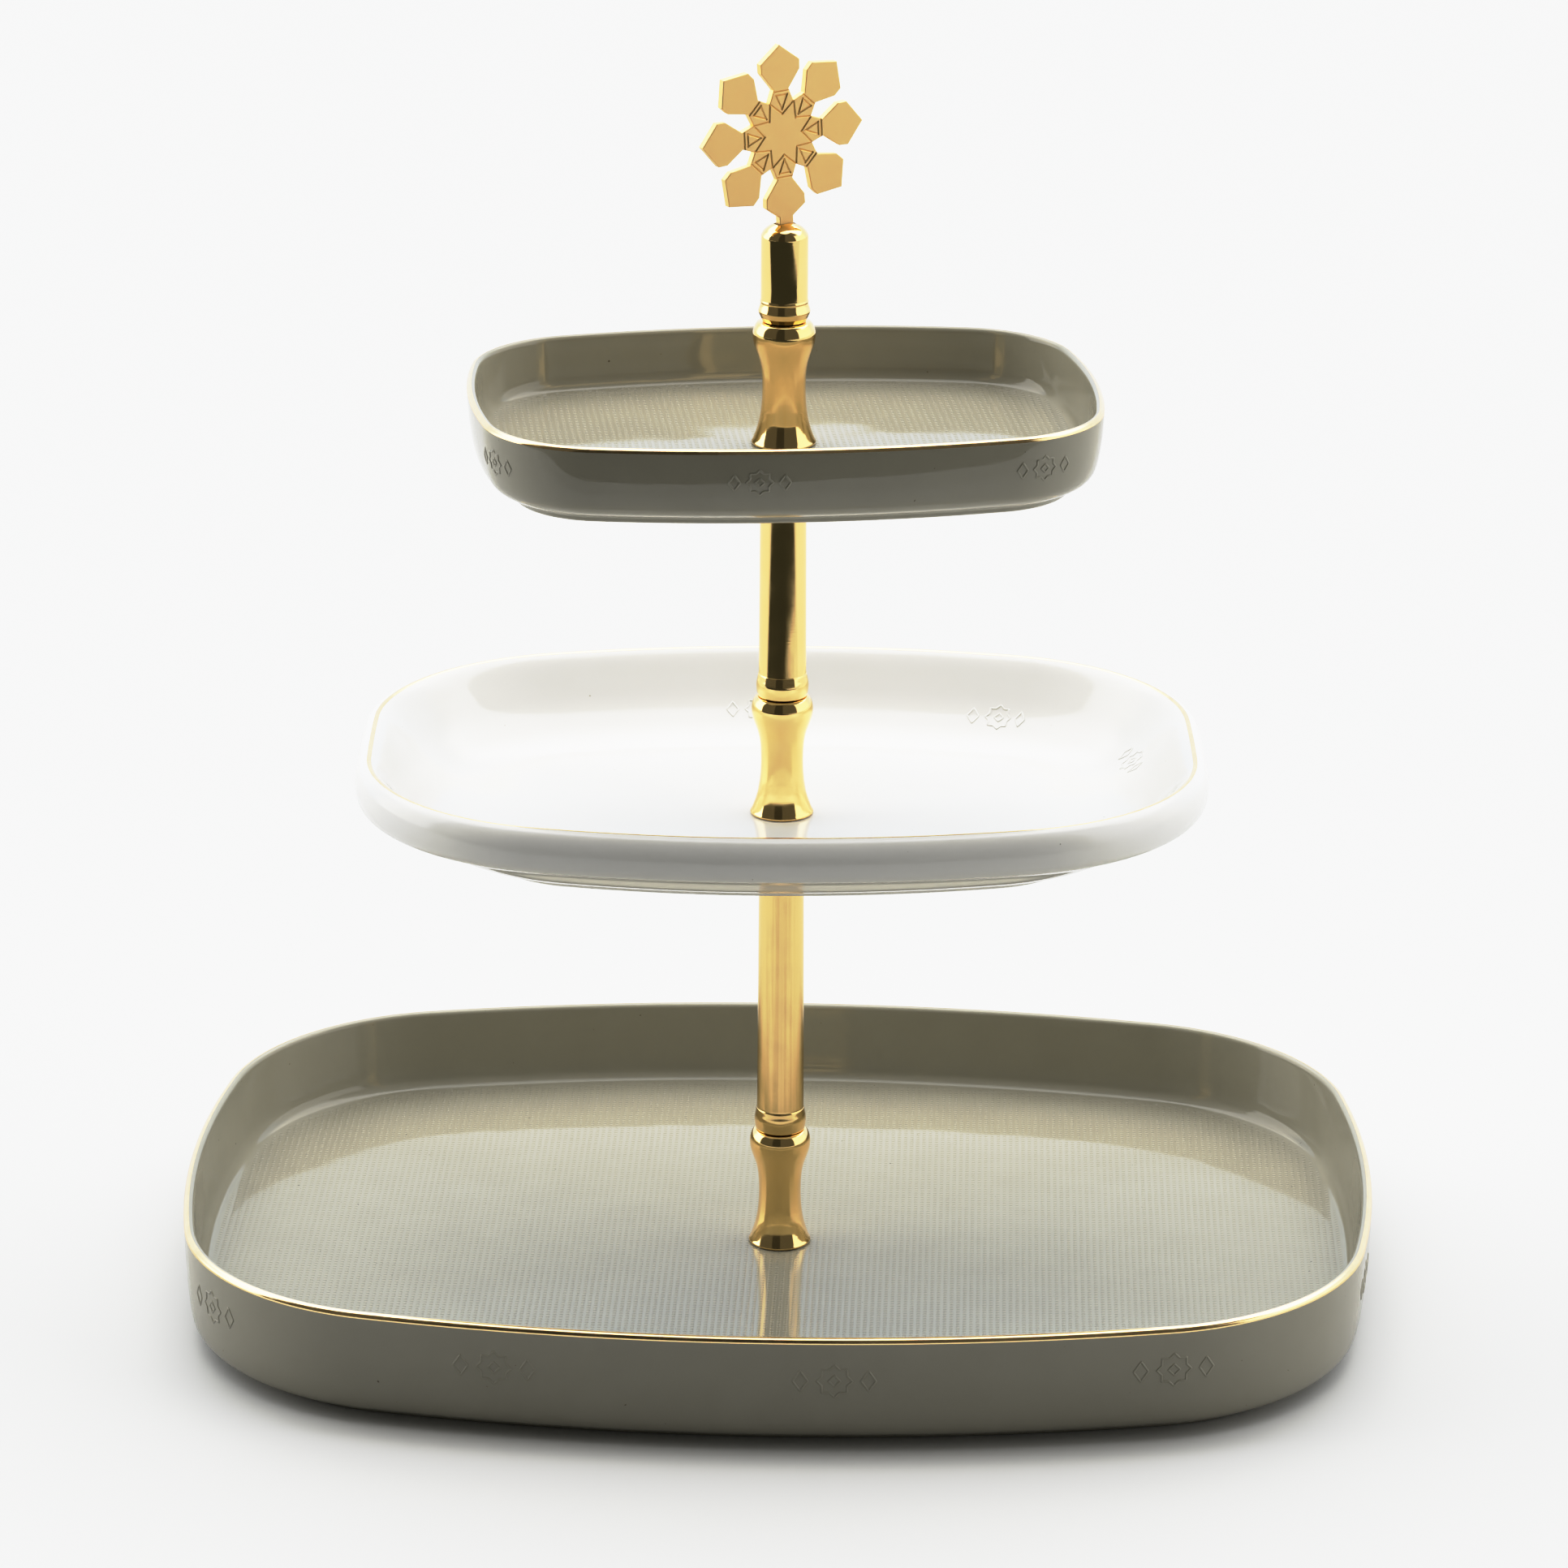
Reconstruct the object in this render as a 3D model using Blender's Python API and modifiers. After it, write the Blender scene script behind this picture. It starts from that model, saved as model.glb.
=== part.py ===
"""Three-tier cake stand: glazed trays clamped on a gold column of spools and rods.

Metres, +Z up. The origin is on the column's axis, on the surface that the stand stands on.
Every piece is turned about, or lies across, the column's axis, so each object's origin is on it.
"""

import math

import bmesh
import bpy
from mathutils import Matrix, Vector

# ---- Driving dimensions, in metres ----

GAP = 0.0003  # between pieces that touch
TURN_STEPS = 24  # sides of a turned piece
STUD_STEPS = 16  # sides of a stud or screw shank

STUD_RADIUS = 0.0029  # M6 thread, at its crests
STUD_CHAMFER = 0.0005
TAPPED_RADIUS = STUD_RADIUS + GAP
TRAY_HOLE_RADIUS = 0.0036
THREAD_GRIP = 0.008  # thread held in each spool, rod or ferrule

GASKET_THICKNESS = 0.0006
GASKET_RADIUS = 0.0071  # ring inside a spool's foot
UNDER_GASKET_RADIUS = 0.010  # ring below a tray
WASHER_RADIUS = 0.009
WASHER_THICKNESS = 0.0008
SUPPORT_RADIUS = 0.011
SUPPORT_THICKNESS = 0.001
SCREW_HEAD_RADIUS = 0.0065
SCREW_HEAD_HEIGHT = 0.0017
SCREW_ROUNDING = 0.0006  # of the head's edge and of the screw's tip
CROSS_SLOT_LENGTH = 0.0056
CROSS_SLOT_WIDTH = 0.0011
CROSS_SLOT_DEPTH = 0.0009

# Heights of each tray's floor at its centre hole
BOTTOM_FLOOR = 0.0084
MIDDLE_FLOOR = 0.1318
TOP_FLOOR = 0.2339

# Rest angles about the column, and the medallion's lean in its slot
MIDDLE_TURN = math.radians(2.0)
TOP_TURN = math.radians(7.5)
MEDALLION_TURN = math.radians(31.0)
MEDALLION_LEAN = math.radians(3.0)

# Tray outlines: half length, half width, long side's arc, short side's arc, corner radius
BOTTOM_OUTLINE = (0.160, 0.120, 0.485, 0.346, 0.067)
MIDDLE_OUTLINE = (0.1095, 0.0805, 0.282, 0.900, 0.059)
TOP_OUTLINE = (0.0825, 0.0613, 0.278, 0.182, 0.0324)
LONG_STEPS, CORNER_STEPS, SHORT_STEPS = 4, 8, 4  # points along each arc of a quarter outline

# Tray sections from the floor's edge over the rim and round to the underside, as
# (distance inside the rim's outline, height above the floor at the hole), in millimetres
BOTTOM_SECTION = (
    (9.0, 0.8), (6.3, 1.4), (4.4, 3.2), (3.6, 6.2), (2.9, 21.8),
    (2.7, 23.0), (2.0, 23.6), (1.0, 23.6), (0.2, 23.0), (0.0, 22.0),
    (0.6, 8.0), (1.4, -1.0), (2.6, -3.6), (5.0, -5.4), (8.6, -6.3),
    (9.9, -8.4), (12.9, -8.4), (14.4, -3.6),
)
MIDDLE_SECTION = (
    (30.0, 1.0), (20.0, 3.2), (12.0, 8.5), (7.0, 14.5), (3.4, 19.2), (1.2, 20.9),
    (0.0, 20.9), (-1.6, 20.0), (-2.8, 17.5), (-3.2, 14.5), (-2.8, 11.5), (-1.4, 9.3),
    (1.5, 8.5), (10.0, 5.0), (17.0, 0.6), (24.0, -2.6), (30.0, -4.5),
    (31.2, -6.1), (34.0, -6.1), (35.3, -3.6),
)
TOP_SECTION = (
    (8.4, 0.5), (5.6, 1.0), (4.0, 2.6), (3.3, 5.2), (2.6, 13.8),
    (2.4, 15.0), (1.8, 15.6), (0.9, 15.6), (0.2, 15.0), (0.0, 14.1),
    (0.5, 7.0), (1.6, 0.5), (3.2, -2.2), (6.2, -3.9), (8.2, -4.4),
    (8.8, -6.3), (11.4, -6.3), (12.6, -3.4),
)
BOTTOM_THICKNESS = 0.0038  # at the centre hole
MIDDLE_THICKNESS = 0.0038
TOP_THICKNESS = 0.0036
SHARP_ANGLE = math.radians(40)  # a tray's edges over this stay sharp

# Spool, from its top joint down to its foot, as (radius, height above the foot), in millimetres
SPOOL_HEIGHT = 0.0326
SPOOL_KNOTS = (
    (6.6, 32.6), (7.7, 31.2), (8.25, 28.6), (7.7, 25.6), (6.3, 20.8), (5.7, 14.8),
    (5.93, 9.5), (6.48, 6.0), (7.5, 2.5), (8.42, 0.4), (8.3, 0.0),
)
SPOOL_SMOOTH_STEPS = 2
FOOT_RECESS_RADIUS = 0.0074
FOOT_RECESS_DEPTH = 0.0009

# Rods and ferrule, as (radius, height above the joint), in millimetres
BEAD_SECTION = ((6.35, 6.05), (6.6, 5.5), (6.76, 4.6), (6.85, 3.4), (6.78, 1.2), (6.6, 0.0))
LOWER_ROD_TOP_RADIUS = 0.0060
UPPER_ROD_TOP_RADIUS = 0.0061
FERRULE_SECTION = ((6.2, 5.2), (6.4, 4.0), (6.75, 3.0), (6.85, 2.5), (5.7, 0.0))
FERRULE_RADIUS = 0.0062
FERRULE_SIDE_TOP = 0.0222  # height of the straight side above the joint
FERRULE_DOME = 0.0040
DOME_STEPS = 5

# Medallion
PETALS = 8
PLATE_THICKNESS = 0.0023
ROSETTE_CENTRE = 0.3167
NOTCH_RADIUS = 0.0091  # between two petals
# Half of one petal, as (half width, distance from the rosette's centre)
PETAL_HALF = ((0.0022, 0.0118), (0.0056, 0.0165), (0.0057, 0.0190))
PETAL_TIP = 0.0235
TANG_HALF_WIDTH = 0.0020
TANG_SHOULDER = 0.0218
TANG_END = 0.0288
TANG_CLEARANCE = 0.0006
SLOT_DEPTH = 0.0060

# ---- Heights worked out from the driving dimensions ----


def spool_seat(floor):
    return floor + GAP


LOWER_JOINT = spool_seat(BOTTOM_FLOOR) + SPOOL_HEIGHT + GAP
MIDDLE_JOINT = spool_seat(MIDDLE_FLOOR) + SPOOL_HEIGHT + GAP
TOP_JOINT = spool_seat(TOP_FLOOR) + SPOOL_HEIGHT + GAP
FERRULE_TOP = TOP_JOINT + FERRULE_SIDE_TOP + FERRULE_DOME


# ---- Materials ----


def principled(name, colour, metallic, roughness):
    made = bpy.data.materials.new(name)
    made.use_nodes = True
    shader = made.node_tree.nodes["Principled BSDF"]
    shader.inputs["Base Color"].default_value = (*colour, 1.0)
    shader.inputs["Metallic"].default_value = metallic
    shader.inputs["Roughness"].default_value = roughness
    made.diffuse_color = (*colour, 1.0)
    return made


def make_materials():
    return {
        "grey": principled("grey_glaze", (0.19, 0.185, 0.15), 0.0, 0.08),
        "white": principled("white_glaze", (0.83, 0.83, 0.80), 0.0, 0.10),
        "gold": principled("gold_plate", (0.83, 0.58, 0.22), 1.0, 0.12),
        "satin_gold": principled("satin_gold", (0.80, 0.56, 0.22), 1.0, 0.32),
        "steel": principled("zinc_steel", (0.62, 0.62, 0.60), 1.0, 0.35),
        "rubber": principled("clear_grey_rubber", (0.25, 0.25, 0.24), 0.0, 0.7),
    }


# ---- Collections and objects ----


def clear_scene():
    for old in list(bpy.data.objects):
        bpy.data.objects.remove(old, do_unlink=True)


def new_collection(name):
    made = bpy.data.collections.new(name)
    bpy.context.scene.collection.children.link(made)
    return made


def add_object(name, data, collection, material=None):
    made = bpy.data.objects.new(name, data)
    collection.objects.link(made)
    if material:
        data.materials.append(material)
    return made


def group_on_axis(name, collection, height, members):
    """An empty on the column's axis that carries the pieces of one moving group."""
    empty = add_object(name, None, collection)
    empty.empty_display_size = 0.02
    empty.location.z = height
    for member in members:
        member.parent = empty
        member.location.z -= height
    return empty


# ---- Turned pieces ----


def smoothed(knots, steps):
    """A Catmull-Rom curve through the knots, with this many steps between neighbours."""
    points = [Vector(knot) for knot in knots]
    padded = [2 * points[0] - points[1], *points, 2 * points[-1] - points[-2]]
    curve = []
    for before, start, end, after in zip(padded, padded[1:], padded[2:], padded[3:]):
        for step in range(steps):
            t = step / steps
            pull = (end - before) * t + (2 * before - 5 * start + 4 * end - after) * t**2
            bend = (3 * start - before - 3 * end + after) * t**3
            curve.append(start + (pull + bend) / 2)
    curve.append(points[-1])
    return [tuple(point) for point in curve]


def in_metres(section):
    return [(radius / 1000, height / 1000) for radius, height in section]


def raised(section, height):
    return [(radius, z + height) for radius, z in section]


def turned(name, profile, place, material, steps=TURN_STEPS, closed=False):
    """A profile of (radius, height), read down its outer side, spun about the column's axis."""
    mesh = bpy.data.meshes.new(name)
    edges = [(i, i + 1) for i in range(len(profile) - 1)]
    if closed:
        edges.append((len(profile) - 1, 0))
    mesh.from_pydata([(radius, 0.0, height) for radius, height in profile], edges, [])
    made = add_object(name, mesh, place, material)
    spin = made.modifiers.new("Spin", "SCREW")
    spin.steps = steps
    spin.render_steps = steps
    spin.use_merge_vertices = True
    spin.merge_threshold = 0.00001
    spin.use_smooth_shade = True
    return made


def ring(name, bottom, thickness, inner, outer, place, material):
    top = bottom + thickness
    profile = [(inner, top), (outer, top), (outer, bottom), (inner, bottom)]
    return turned(name, profile, place, material, closed=True)


def stud(name, bottom, top, place, material):
    end_radius = STUD_RADIUS - STUD_CHAMFER
    profile = [
        (0.0, top),
        (end_radius, top),
        (STUD_RADIUS, top - STUD_CHAMFER),
        (STUD_RADIUS, bottom + STUD_CHAMFER),
        (end_radius, bottom),
        (0.0, bottom),
    ]
    return turned(name, profile, place, material, steps=STUD_STEPS)


def tapped_from_above(top):
    """Profile of a blind hole in the top face of a turned piece, read from the axis out."""
    floor = top - THREAD_GRIP - GAP
    return [(0.0, floor), (TAPPED_RADIUS, floor), (TAPPED_RADIUS, top)]


def tapped_from_below(bottom):
    ceiling = bottom + THREAD_GRIP + GAP
    return [(TAPPED_RADIUS, bottom), (TAPPED_RADIUS, ceiling), (0.0, ceiling)]


def spool(name, seat, place, material):
    """A waisted spool, tapped at both ends, with a recess for a gasket under its foot."""
    side = raised(smoothed(in_metres(SPOOL_KNOTS), SPOOL_SMOOTH_STEPS), seat)
    recess = seat + FOOT_RECESS_DEPTH
    profile = [
        *tapped_from_above(seat + SPOOL_HEIGHT),
        *side,
        (FOOT_RECESS_RADIUS, seat),
        (FOOT_RECESS_RADIUS, recess),
        *tapped_from_below(recess),
    ]
    return turned(name, profile, place, material)


def rod(name, joint, top, top_radius, place, material):
    """A rod that tapers upwards from a bead at its lower joint, tapped at both ends."""
    profile = [
        *tapped_from_above(top),
        (top_radius, top),
        *raised(in_metres(BEAD_SECTION), joint),
        *tapped_from_below(joint),
    ]
    return turned(name, profile, place, material)


def dome(side_top):
    """A quarter ellipse from just beside the ferrule's top down to its straight side."""
    angles = [math.pi / 2 * (1 - step / DOME_STEPS) for step in range(1, DOME_STEPS + 1)]
    return [
        (FERRULE_RADIUS * math.cos(angle), side_top + FERRULE_DOME * math.sin(angle))
        for angle in angles
    ]


def ferrule(name, joint, place, cutters, material):
    profile = [
        (0.0, FERRULE_TOP),
        *dome(joint + FERRULE_SIDE_TOP),
        *raised(in_metres(FERRULE_SECTION), joint),
        *tapped_from_below(joint),
    ]
    made = turned(name, profile, place, material)
    size = (
        2 * (TANG_HALF_WIDTH + TANG_CLEARANCE),
        PLATE_THICKNESS + 2 * GAP,
        2 * SLOT_DEPTH,
    )
    centre = (0.0, 0.0, FERRULE_TOP)
    cut(made, box_cutter("tang_slot_cutter", size, centre, MEDALLION_TURN, cutters))
    return made


# ---- Cutters ----


def box_cutter(name, size, centre, turn, cutters):
    shape = bmesh.new()
    bmesh.ops.create_cube(shape, size=1.0, matrix=Matrix.Diagonal((*size, 1.0)))
    mesh = bpy.data.meshes.new(name)
    shape.to_mesh(mesh)
    shape.free()
    made = add_object(name, mesh, cutters)
    made.location = centre
    made.rotation_euler.z = turn
    made.hide_render = True
    made.display_type = "WIRE"
    return made


def cut(target, cutter):
    modifier = target.modifiers.new(cutter.name, "BOOLEAN")
    modifier.operation = "DIFFERENCE"
    modifier.solver = "EXACT"
    modifier.object = cutter


def bottom_screw(name, head_bottom, top, place, cutters, material):
    """A low-head screw that points up, with a cross recess in its head."""
    head_top = head_bottom + SCREW_HEAD_HEIGHT
    profile = [
        (0.0, top),
        (STUD_RADIUS - SCREW_ROUNDING, top),
        (STUD_RADIUS, top - SCREW_ROUNDING),
        (STUD_RADIUS, head_top),
        (SCREW_HEAD_RADIUS, head_top),
        (SCREW_HEAD_RADIUS, head_bottom + SCREW_ROUNDING),
        (SCREW_HEAD_RADIUS - SCREW_ROUNDING, head_bottom),
        (0.0, head_bottom),
    ]
    made = turned(name, profile, place, material)
    size = (CROSS_SLOT_LENGTH, CROSS_SLOT_WIDTH, 2 * CROSS_SLOT_DEPTH)
    centre = (0.0, 0.0, head_bottom)
    for number, turn in ((1, math.pi / 4), (2, 3 * math.pi / 4)):
        cut(made, box_cutter(f"cross_slot_cutter_{number}", size, centre, turn, cutters))
    return made


# ---- Trays ----


def arc(centre, radius, start, end, steps):
    """Points along an arc, without its last one."""
    angles = [start + (end - start) * step / steps for step in range(steps)]
    return [centre + radius * Vector((math.cos(a), math.sin(a))) for a in angles]


def corner_centre(outline):
    """Centre of the corner arc that touches both side arcs from inside."""
    half_length, half_width, long_arc, short_arc, corner = outline
    long_centre = Vector((0.0, half_width - long_arc))
    short_centre = Vector((half_length - short_arc, 0.0))
    from_long, from_short = long_arc - corner, short_arc - corner
    between = short_centre - long_centre
    along = (from_long**2 - from_short**2 + between.length**2) / (2 * between.length)
    across = math.sqrt(from_long**2 - along**2)
    direction = between.normalized()
    outwards = Vector((direction.y, -direction.x))
    return long_centre + direction * along + outwards * across


def quarter_outline(outline):
    """The outline's quarter in +X and +Y, from the end of the half length to +Y, as three arcs."""
    half_length, half_width, long_arc, short_arc, corner = outline
    long_centre = Vector((0.0, half_width - long_arc))
    short_centre = Vector((half_length - short_arc, 0.0))
    centre = corner_centre(outline)
    to_short = centre - short_centre
    to_long = centre - long_centre
    leave = math.atan2(to_short.y, to_short.x)
    arrive = math.atan2(to_long.y, to_long.x)
    return [
        *arc(short_centre, short_arc, 0.0, leave, SHORT_STEPS),
        *arc(centre, corner, leave, arrive, CORNER_STEPS),
        *arc(long_centre, long_arc, arrive, math.pi / 2, LONG_STEPS),
    ]


def outline_points(outline, inset):
    """The whole outline moved inwards by inset, counter-clockwise from +X."""
    smaller = tuple(size - inset for size in outline)
    quarter = quarter_outline(smaller)
    top = Vector((0.0, smaller[1]))
    to_top = [*quarter, top]
    to_left = [Vector((-p.x, p.y)) for p in reversed(quarter)]
    to_bottom = [Vector((-p.x, -p.y)) for p in to_top[1:]]
    to_right = [Vector((p.x, -p.y)) for p in reversed(quarter[1:])]
    return [*to_top, *to_left, *to_bottom, *to_right]


def circle_points(radius, directions):
    """A circle with one point in each of the given directions."""
    return [radius * direction.normalized() for direction in directions]


def loft(name, rings, place, material):
    """One closed skin through rings of (points, height), with the last joined to the first."""
    shape = bmesh.new()
    rows = [[shape.verts.new((p.x, p.y, height)) for p in points] for points, height in rings]
    for row, following in zip(rows, [*rows[1:], rows[0]]):
        for i, j in zip(range(len(row)), [*range(1, len(row)), 0]):
            shape.faces.new((row[i], following[i], following[j], row[j]))
    mesh = bpy.data.meshes.new(name)
    shape.to_mesh(mesh)
    shape.free()
    mesh.shade_smooth()
    mesh.set_sharp_from_angle(angle=SHARP_ANGLE)
    return add_object(name, mesh, place, material)


def tray(name, outline, section, thickness, floor, turn, place, material):
    """A glazed tray: its section run round its outline, and a round hole at its centre."""
    rings = [
        (outline_points(outline, inset / 1000), height / 1000) for inset, height in section
    ]
    hole = circle_points(TRAY_HOLE_RADIUS, rings[0][0])
    rings = [(hole, 0.0), *rings, (hole, -thickness)]
    made = loft(name, rings, place, material)
    made.location.z = floor
    made.rotation_euler.z = turn
    return made


# ---- Medallion ----


def petal_points(angle, is_lowest):
    """One petal of the rosette, in the order of growing angle, starting after its notch."""
    first = [(-width, reach) for width, reach in PETAL_HALF]
    last = [(width, reach) for width, reach in reversed(PETAL_HALF)]
    tip = [(0.0, PETAL_TIP)]
    if is_lowest:
        tip = [
            (-TANG_HALF_WIDTH, TANG_SHOULDER),
            (-TANG_HALF_WIDTH, TANG_END),
            (TANG_HALF_WIDTH, TANG_END),
            (TANG_HALF_WIDTH, TANG_SHOULDER),
        ]
    outwards = Vector((math.cos(angle), math.sin(angle)))
    sideways = Vector((-outwards.y, outwards.x))
    return [sideways * width + outwards * reach for width, reach in [*first, *tip, *last]]


def rosette_points():
    step = 2 * math.pi / PETALS
    points = []
    for i in range(PETALS):
        angle = -math.pi / 2 + i * step
        notch = angle - step / 2
        points.append(NOTCH_RADIUS * Vector((math.cos(notch), math.sin(notch))))
        points += petal_points(angle, is_lowest=i == 0)
    return points


def medallion(name, place, material):
    """The rosette as a flat plate that stands on edge and leans a little in its slot."""
    data = bpy.data.curves.new(name, "CURVE")
    data.dimensions = "2D"
    data.fill_mode = "BOTH"
    data.extrude = PLATE_THICKNESS / 2
    points = rosette_points()
    spline = data.splines.new("POLY")
    spline.points.add(len(points) - 1)
    for target, point in zip(spline.points, points):
        target.co = (point.x, point.y, 0.0, 1.0)
    spline.use_cyclic_u = True
    made = add_object(name, data, place, material)
    neck = Matrix.Translation((0.0, 0.0, FERRULE_TOP))
    turn = Matrix.Rotation(MEDALLION_TURN, 4, "Z")
    lean = Matrix.Rotation(-MEDALLION_LEAN, 4, "Y")
    lift = Matrix.Translation((0.0, 0.0, ROSETTE_CENTRE - FERRULE_TOP))
    stand = Matrix.Rotation(math.pi / 2, 4, "X")
    made.matrix_world = neck @ turn @ lean @ lift @ stand
    return made


# ---- The assembly ----


def clamp_below(prefix, underside, place, materials):
    """Support washer and gasket between a rod's end and the tray above it."""
    gasket_bottom = underside - GAP - GASKET_THICKNESS
    washer_bottom = gasket_bottom - GAP - SUPPORT_THICKNESS
    return [
        ring(f"{prefix}_lower_gasket", gasket_bottom, GASKET_THICKNESS, TRAY_HOLE_RADIUS,
             UNDER_GASKET_RADIUS, place, materials["rubber"]),
        ring(f"{prefix}_support_washer", washer_bottom, SUPPORT_THICKNESS, TRAY_HOLE_RADIUS,
             SUPPORT_RADIUS, place, materials["gold"]),
    ]


def rod_end_below(floor, thickness):
    """Height of the rod's top face under a tray, its gasket and its support washer."""
    return floor - thickness - GASKET_THICKNESS - SUPPORT_THICKNESS - 3 * GAP


def foot_gasket(name, floor, place, materials):
    bottom = floor + GAP
    return ring(name, bottom, GASKET_THICKNESS, TRAY_HOLE_RADIUS, GASKET_RADIUS, place,
                materials["rubber"])


def thread_top(floor):
    """Where a stud or screw through a tray ends inside the spool above."""
    return spool_seat(floor) + FOOT_RECESS_DEPTH + THREAD_GRIP


def joint_stud(name, joint, place, materials):
    reach = THREAD_GRIP - GAP
    return stud(name, joint - GAP - reach, joint + reach, place, materials["steel"])


def tray_stud(name, floor, thickness, place, materials):
    bottom = rod_end_below(floor, thickness) - THREAD_GRIP
    return stud(name, bottom, thread_top(floor), place, materials["steel"])


def build_under_bottom_tray(place, cutters, materials):
    underside = BOTTOM_FLOOR - BOTTOM_THICKNESS
    rubber_bottom = underside - GAP - GASKET_THICKNESS
    steel_bottom = rubber_bottom - GAP - WASHER_THICKNESS
    head_bottom = steel_bottom - GAP - SCREW_HEAD_HEIGHT
    ring("bottom_rubber_washer", rubber_bottom, GASKET_THICKNESS, TRAY_HOLE_RADIUS,
         WASHER_RADIUS, place, materials["rubber"])
    ring("bottom_steel_washer", steel_bottom, WASHER_THICKNESS, TRAY_HOLE_RADIUS,
         WASHER_RADIUS, place, materials["steel"])
    bottom_screw("bottom_screw", head_bottom, thread_top(BOTTOM_FLOOR), place, cutters,
                 materials["steel"])


def build_lower_column(place, materials):
    rod_top = rod_end_below(MIDDLE_FLOOR, MIDDLE_THICKNESS)
    members = [
        foot_gasket("lower_foot_gasket", BOTTOM_FLOOR, place, materials),
        spool("lower_spool", spool_seat(BOTTOM_FLOOR), place, materials["gold"]),
        joint_stud("lower_joint_stud", LOWER_JOINT, place, materials),
        rod("lower_rod", LOWER_JOINT, rod_top, LOWER_ROD_TOP_RADIUS, place, materials["gold"]),
        tray_stud("middle_tray_stud", MIDDLE_FLOOR, MIDDLE_THICKNESS, place, materials),
        *clamp_below("middle", MIDDLE_FLOOR - MIDDLE_THICKNESS, place, materials),
    ]
    group_on_axis("lower_column", place, BOTTOM_FLOOR, members)


def build_upper_column(place, materials):
    rod_top = rod_end_below(TOP_FLOOR, TOP_THICKNESS)
    members = [
        spool("middle_spool", spool_seat(MIDDLE_FLOOR), place, materials["gold"]),
        joint_stud("middle_joint_stud", MIDDLE_JOINT, place, materials),
        rod("upper_rod", MIDDLE_JOINT, rod_top, UPPER_ROD_TOP_RADIUS, place, materials["gold"]),
        tray_stud("top_tray_stud", TOP_FLOOR, TOP_THICKNESS, place, materials),
        *clamp_below("top", TOP_FLOOR - TOP_THICKNESS, place, materials),
    ]
    group_on_axis("upper_column", place, MIDDLE_FLOOR, members)


def build_finial(place, cutters, materials):
    members = [
        spool("top_spool", spool_seat(TOP_FLOOR), place, materials["gold"]),
        joint_stud("finial_stud", TOP_JOINT, place, materials),
        ferrule("finial_ferrule", TOP_JOINT, place, cutters, materials["gold"]),
        medallion("medallion", place, materials["satin_gold"]),
    ]
    group_on_axis("finial", place, TOP_FLOOR, members)


def build_trays(place, materials):
    grey, white = materials["grey"], materials["white"]
    tray("bottom_tray", BOTTOM_OUTLINE, BOTTOM_SECTION, BOTTOM_THICKNESS, BOTTOM_FLOOR, 0.0,
         place, grey)
    tray("middle_plate", MIDDLE_OUTLINE, MIDDLE_SECTION, MIDDLE_THICKNESS, MIDDLE_FLOOR,
         MIDDLE_TURN, place, white)
    tray("top_tray", TOP_OUTLINE, TOP_SECTION, TOP_THICKNESS, TOP_FLOOR, TOP_TURN, place, grey)


def main():
    clear_scene()
    place = new_collection("tiered_cake_stand")
    cutters = new_collection("cutters")
    materials = make_materials()
    build_trays(place, materials)
    build_under_bottom_tray(place, cutters, materials)
    build_lower_column(place, materials)
    foot_gasket("middle_upper_gasket", MIDDLE_FLOOR, place, materials)
    build_upper_column(place, materials)
    foot_gasket("top_upper_gasket", TOP_FLOOR, place, materials)
    build_finial(place, cutters, materials)


main()
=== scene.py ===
"""Looks of the three-tier cake stand: glazed trays with gilt rims, clamped on a gold column.

Metres, +Z up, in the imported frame: the origin is on the column's axis, on the floor.
Heights come from the frame. Outlines and sections repeat the CAD's, here rounded and finer.
"""

import bisect
import math

import bmesh
import bpy
from mathutils import Matrix, Vector


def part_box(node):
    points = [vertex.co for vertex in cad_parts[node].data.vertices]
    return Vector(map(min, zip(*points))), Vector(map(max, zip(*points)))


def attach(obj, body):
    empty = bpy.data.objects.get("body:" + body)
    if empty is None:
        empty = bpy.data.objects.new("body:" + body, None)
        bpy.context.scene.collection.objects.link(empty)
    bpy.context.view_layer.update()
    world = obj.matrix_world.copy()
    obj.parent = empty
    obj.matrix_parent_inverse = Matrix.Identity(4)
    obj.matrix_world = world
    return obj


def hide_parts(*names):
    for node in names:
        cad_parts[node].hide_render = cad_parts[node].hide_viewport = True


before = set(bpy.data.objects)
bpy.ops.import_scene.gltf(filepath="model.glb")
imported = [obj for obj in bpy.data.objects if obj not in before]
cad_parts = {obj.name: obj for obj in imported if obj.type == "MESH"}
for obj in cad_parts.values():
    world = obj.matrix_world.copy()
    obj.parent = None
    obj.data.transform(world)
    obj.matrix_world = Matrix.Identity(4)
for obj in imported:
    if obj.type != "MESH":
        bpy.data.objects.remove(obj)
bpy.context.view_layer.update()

# ---- Dimensions, in metres unless a name says otherwise ----

MM = 0.001
ROUND_STEPS = 96  # sides of a turned piece
THREAD_STEPS = 32  # sides of a thread
EASE_STEPS = 4  # steps round the eased edge of a turned piece

# Edges sharper than this many degrees are shaded sharp
SHARP = 35
SHARP_WHERE_CUT = 25
SHARP_ON_PLATE = 12
SHARP_ON_RELIEF = 60

STUD_RADIUS = 0.0029  # M6 thread, at its crests
THREAD_DEPTH = 0.00055
THREAD_PITCH = 0.001
THREAD_ROWS = 6  # rings to one turn of a thread
THREAD_LEAD_IN = 0.0008
THREAD_CREST = 1.15  # over 1, which flattens the crests
BORE_RADIUS = 0.0032  # tapped holes
BORE_DEPTH = 0.0083
HOLE_RADIUS = 0.0036  # through trays, washers and gaskets

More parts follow.
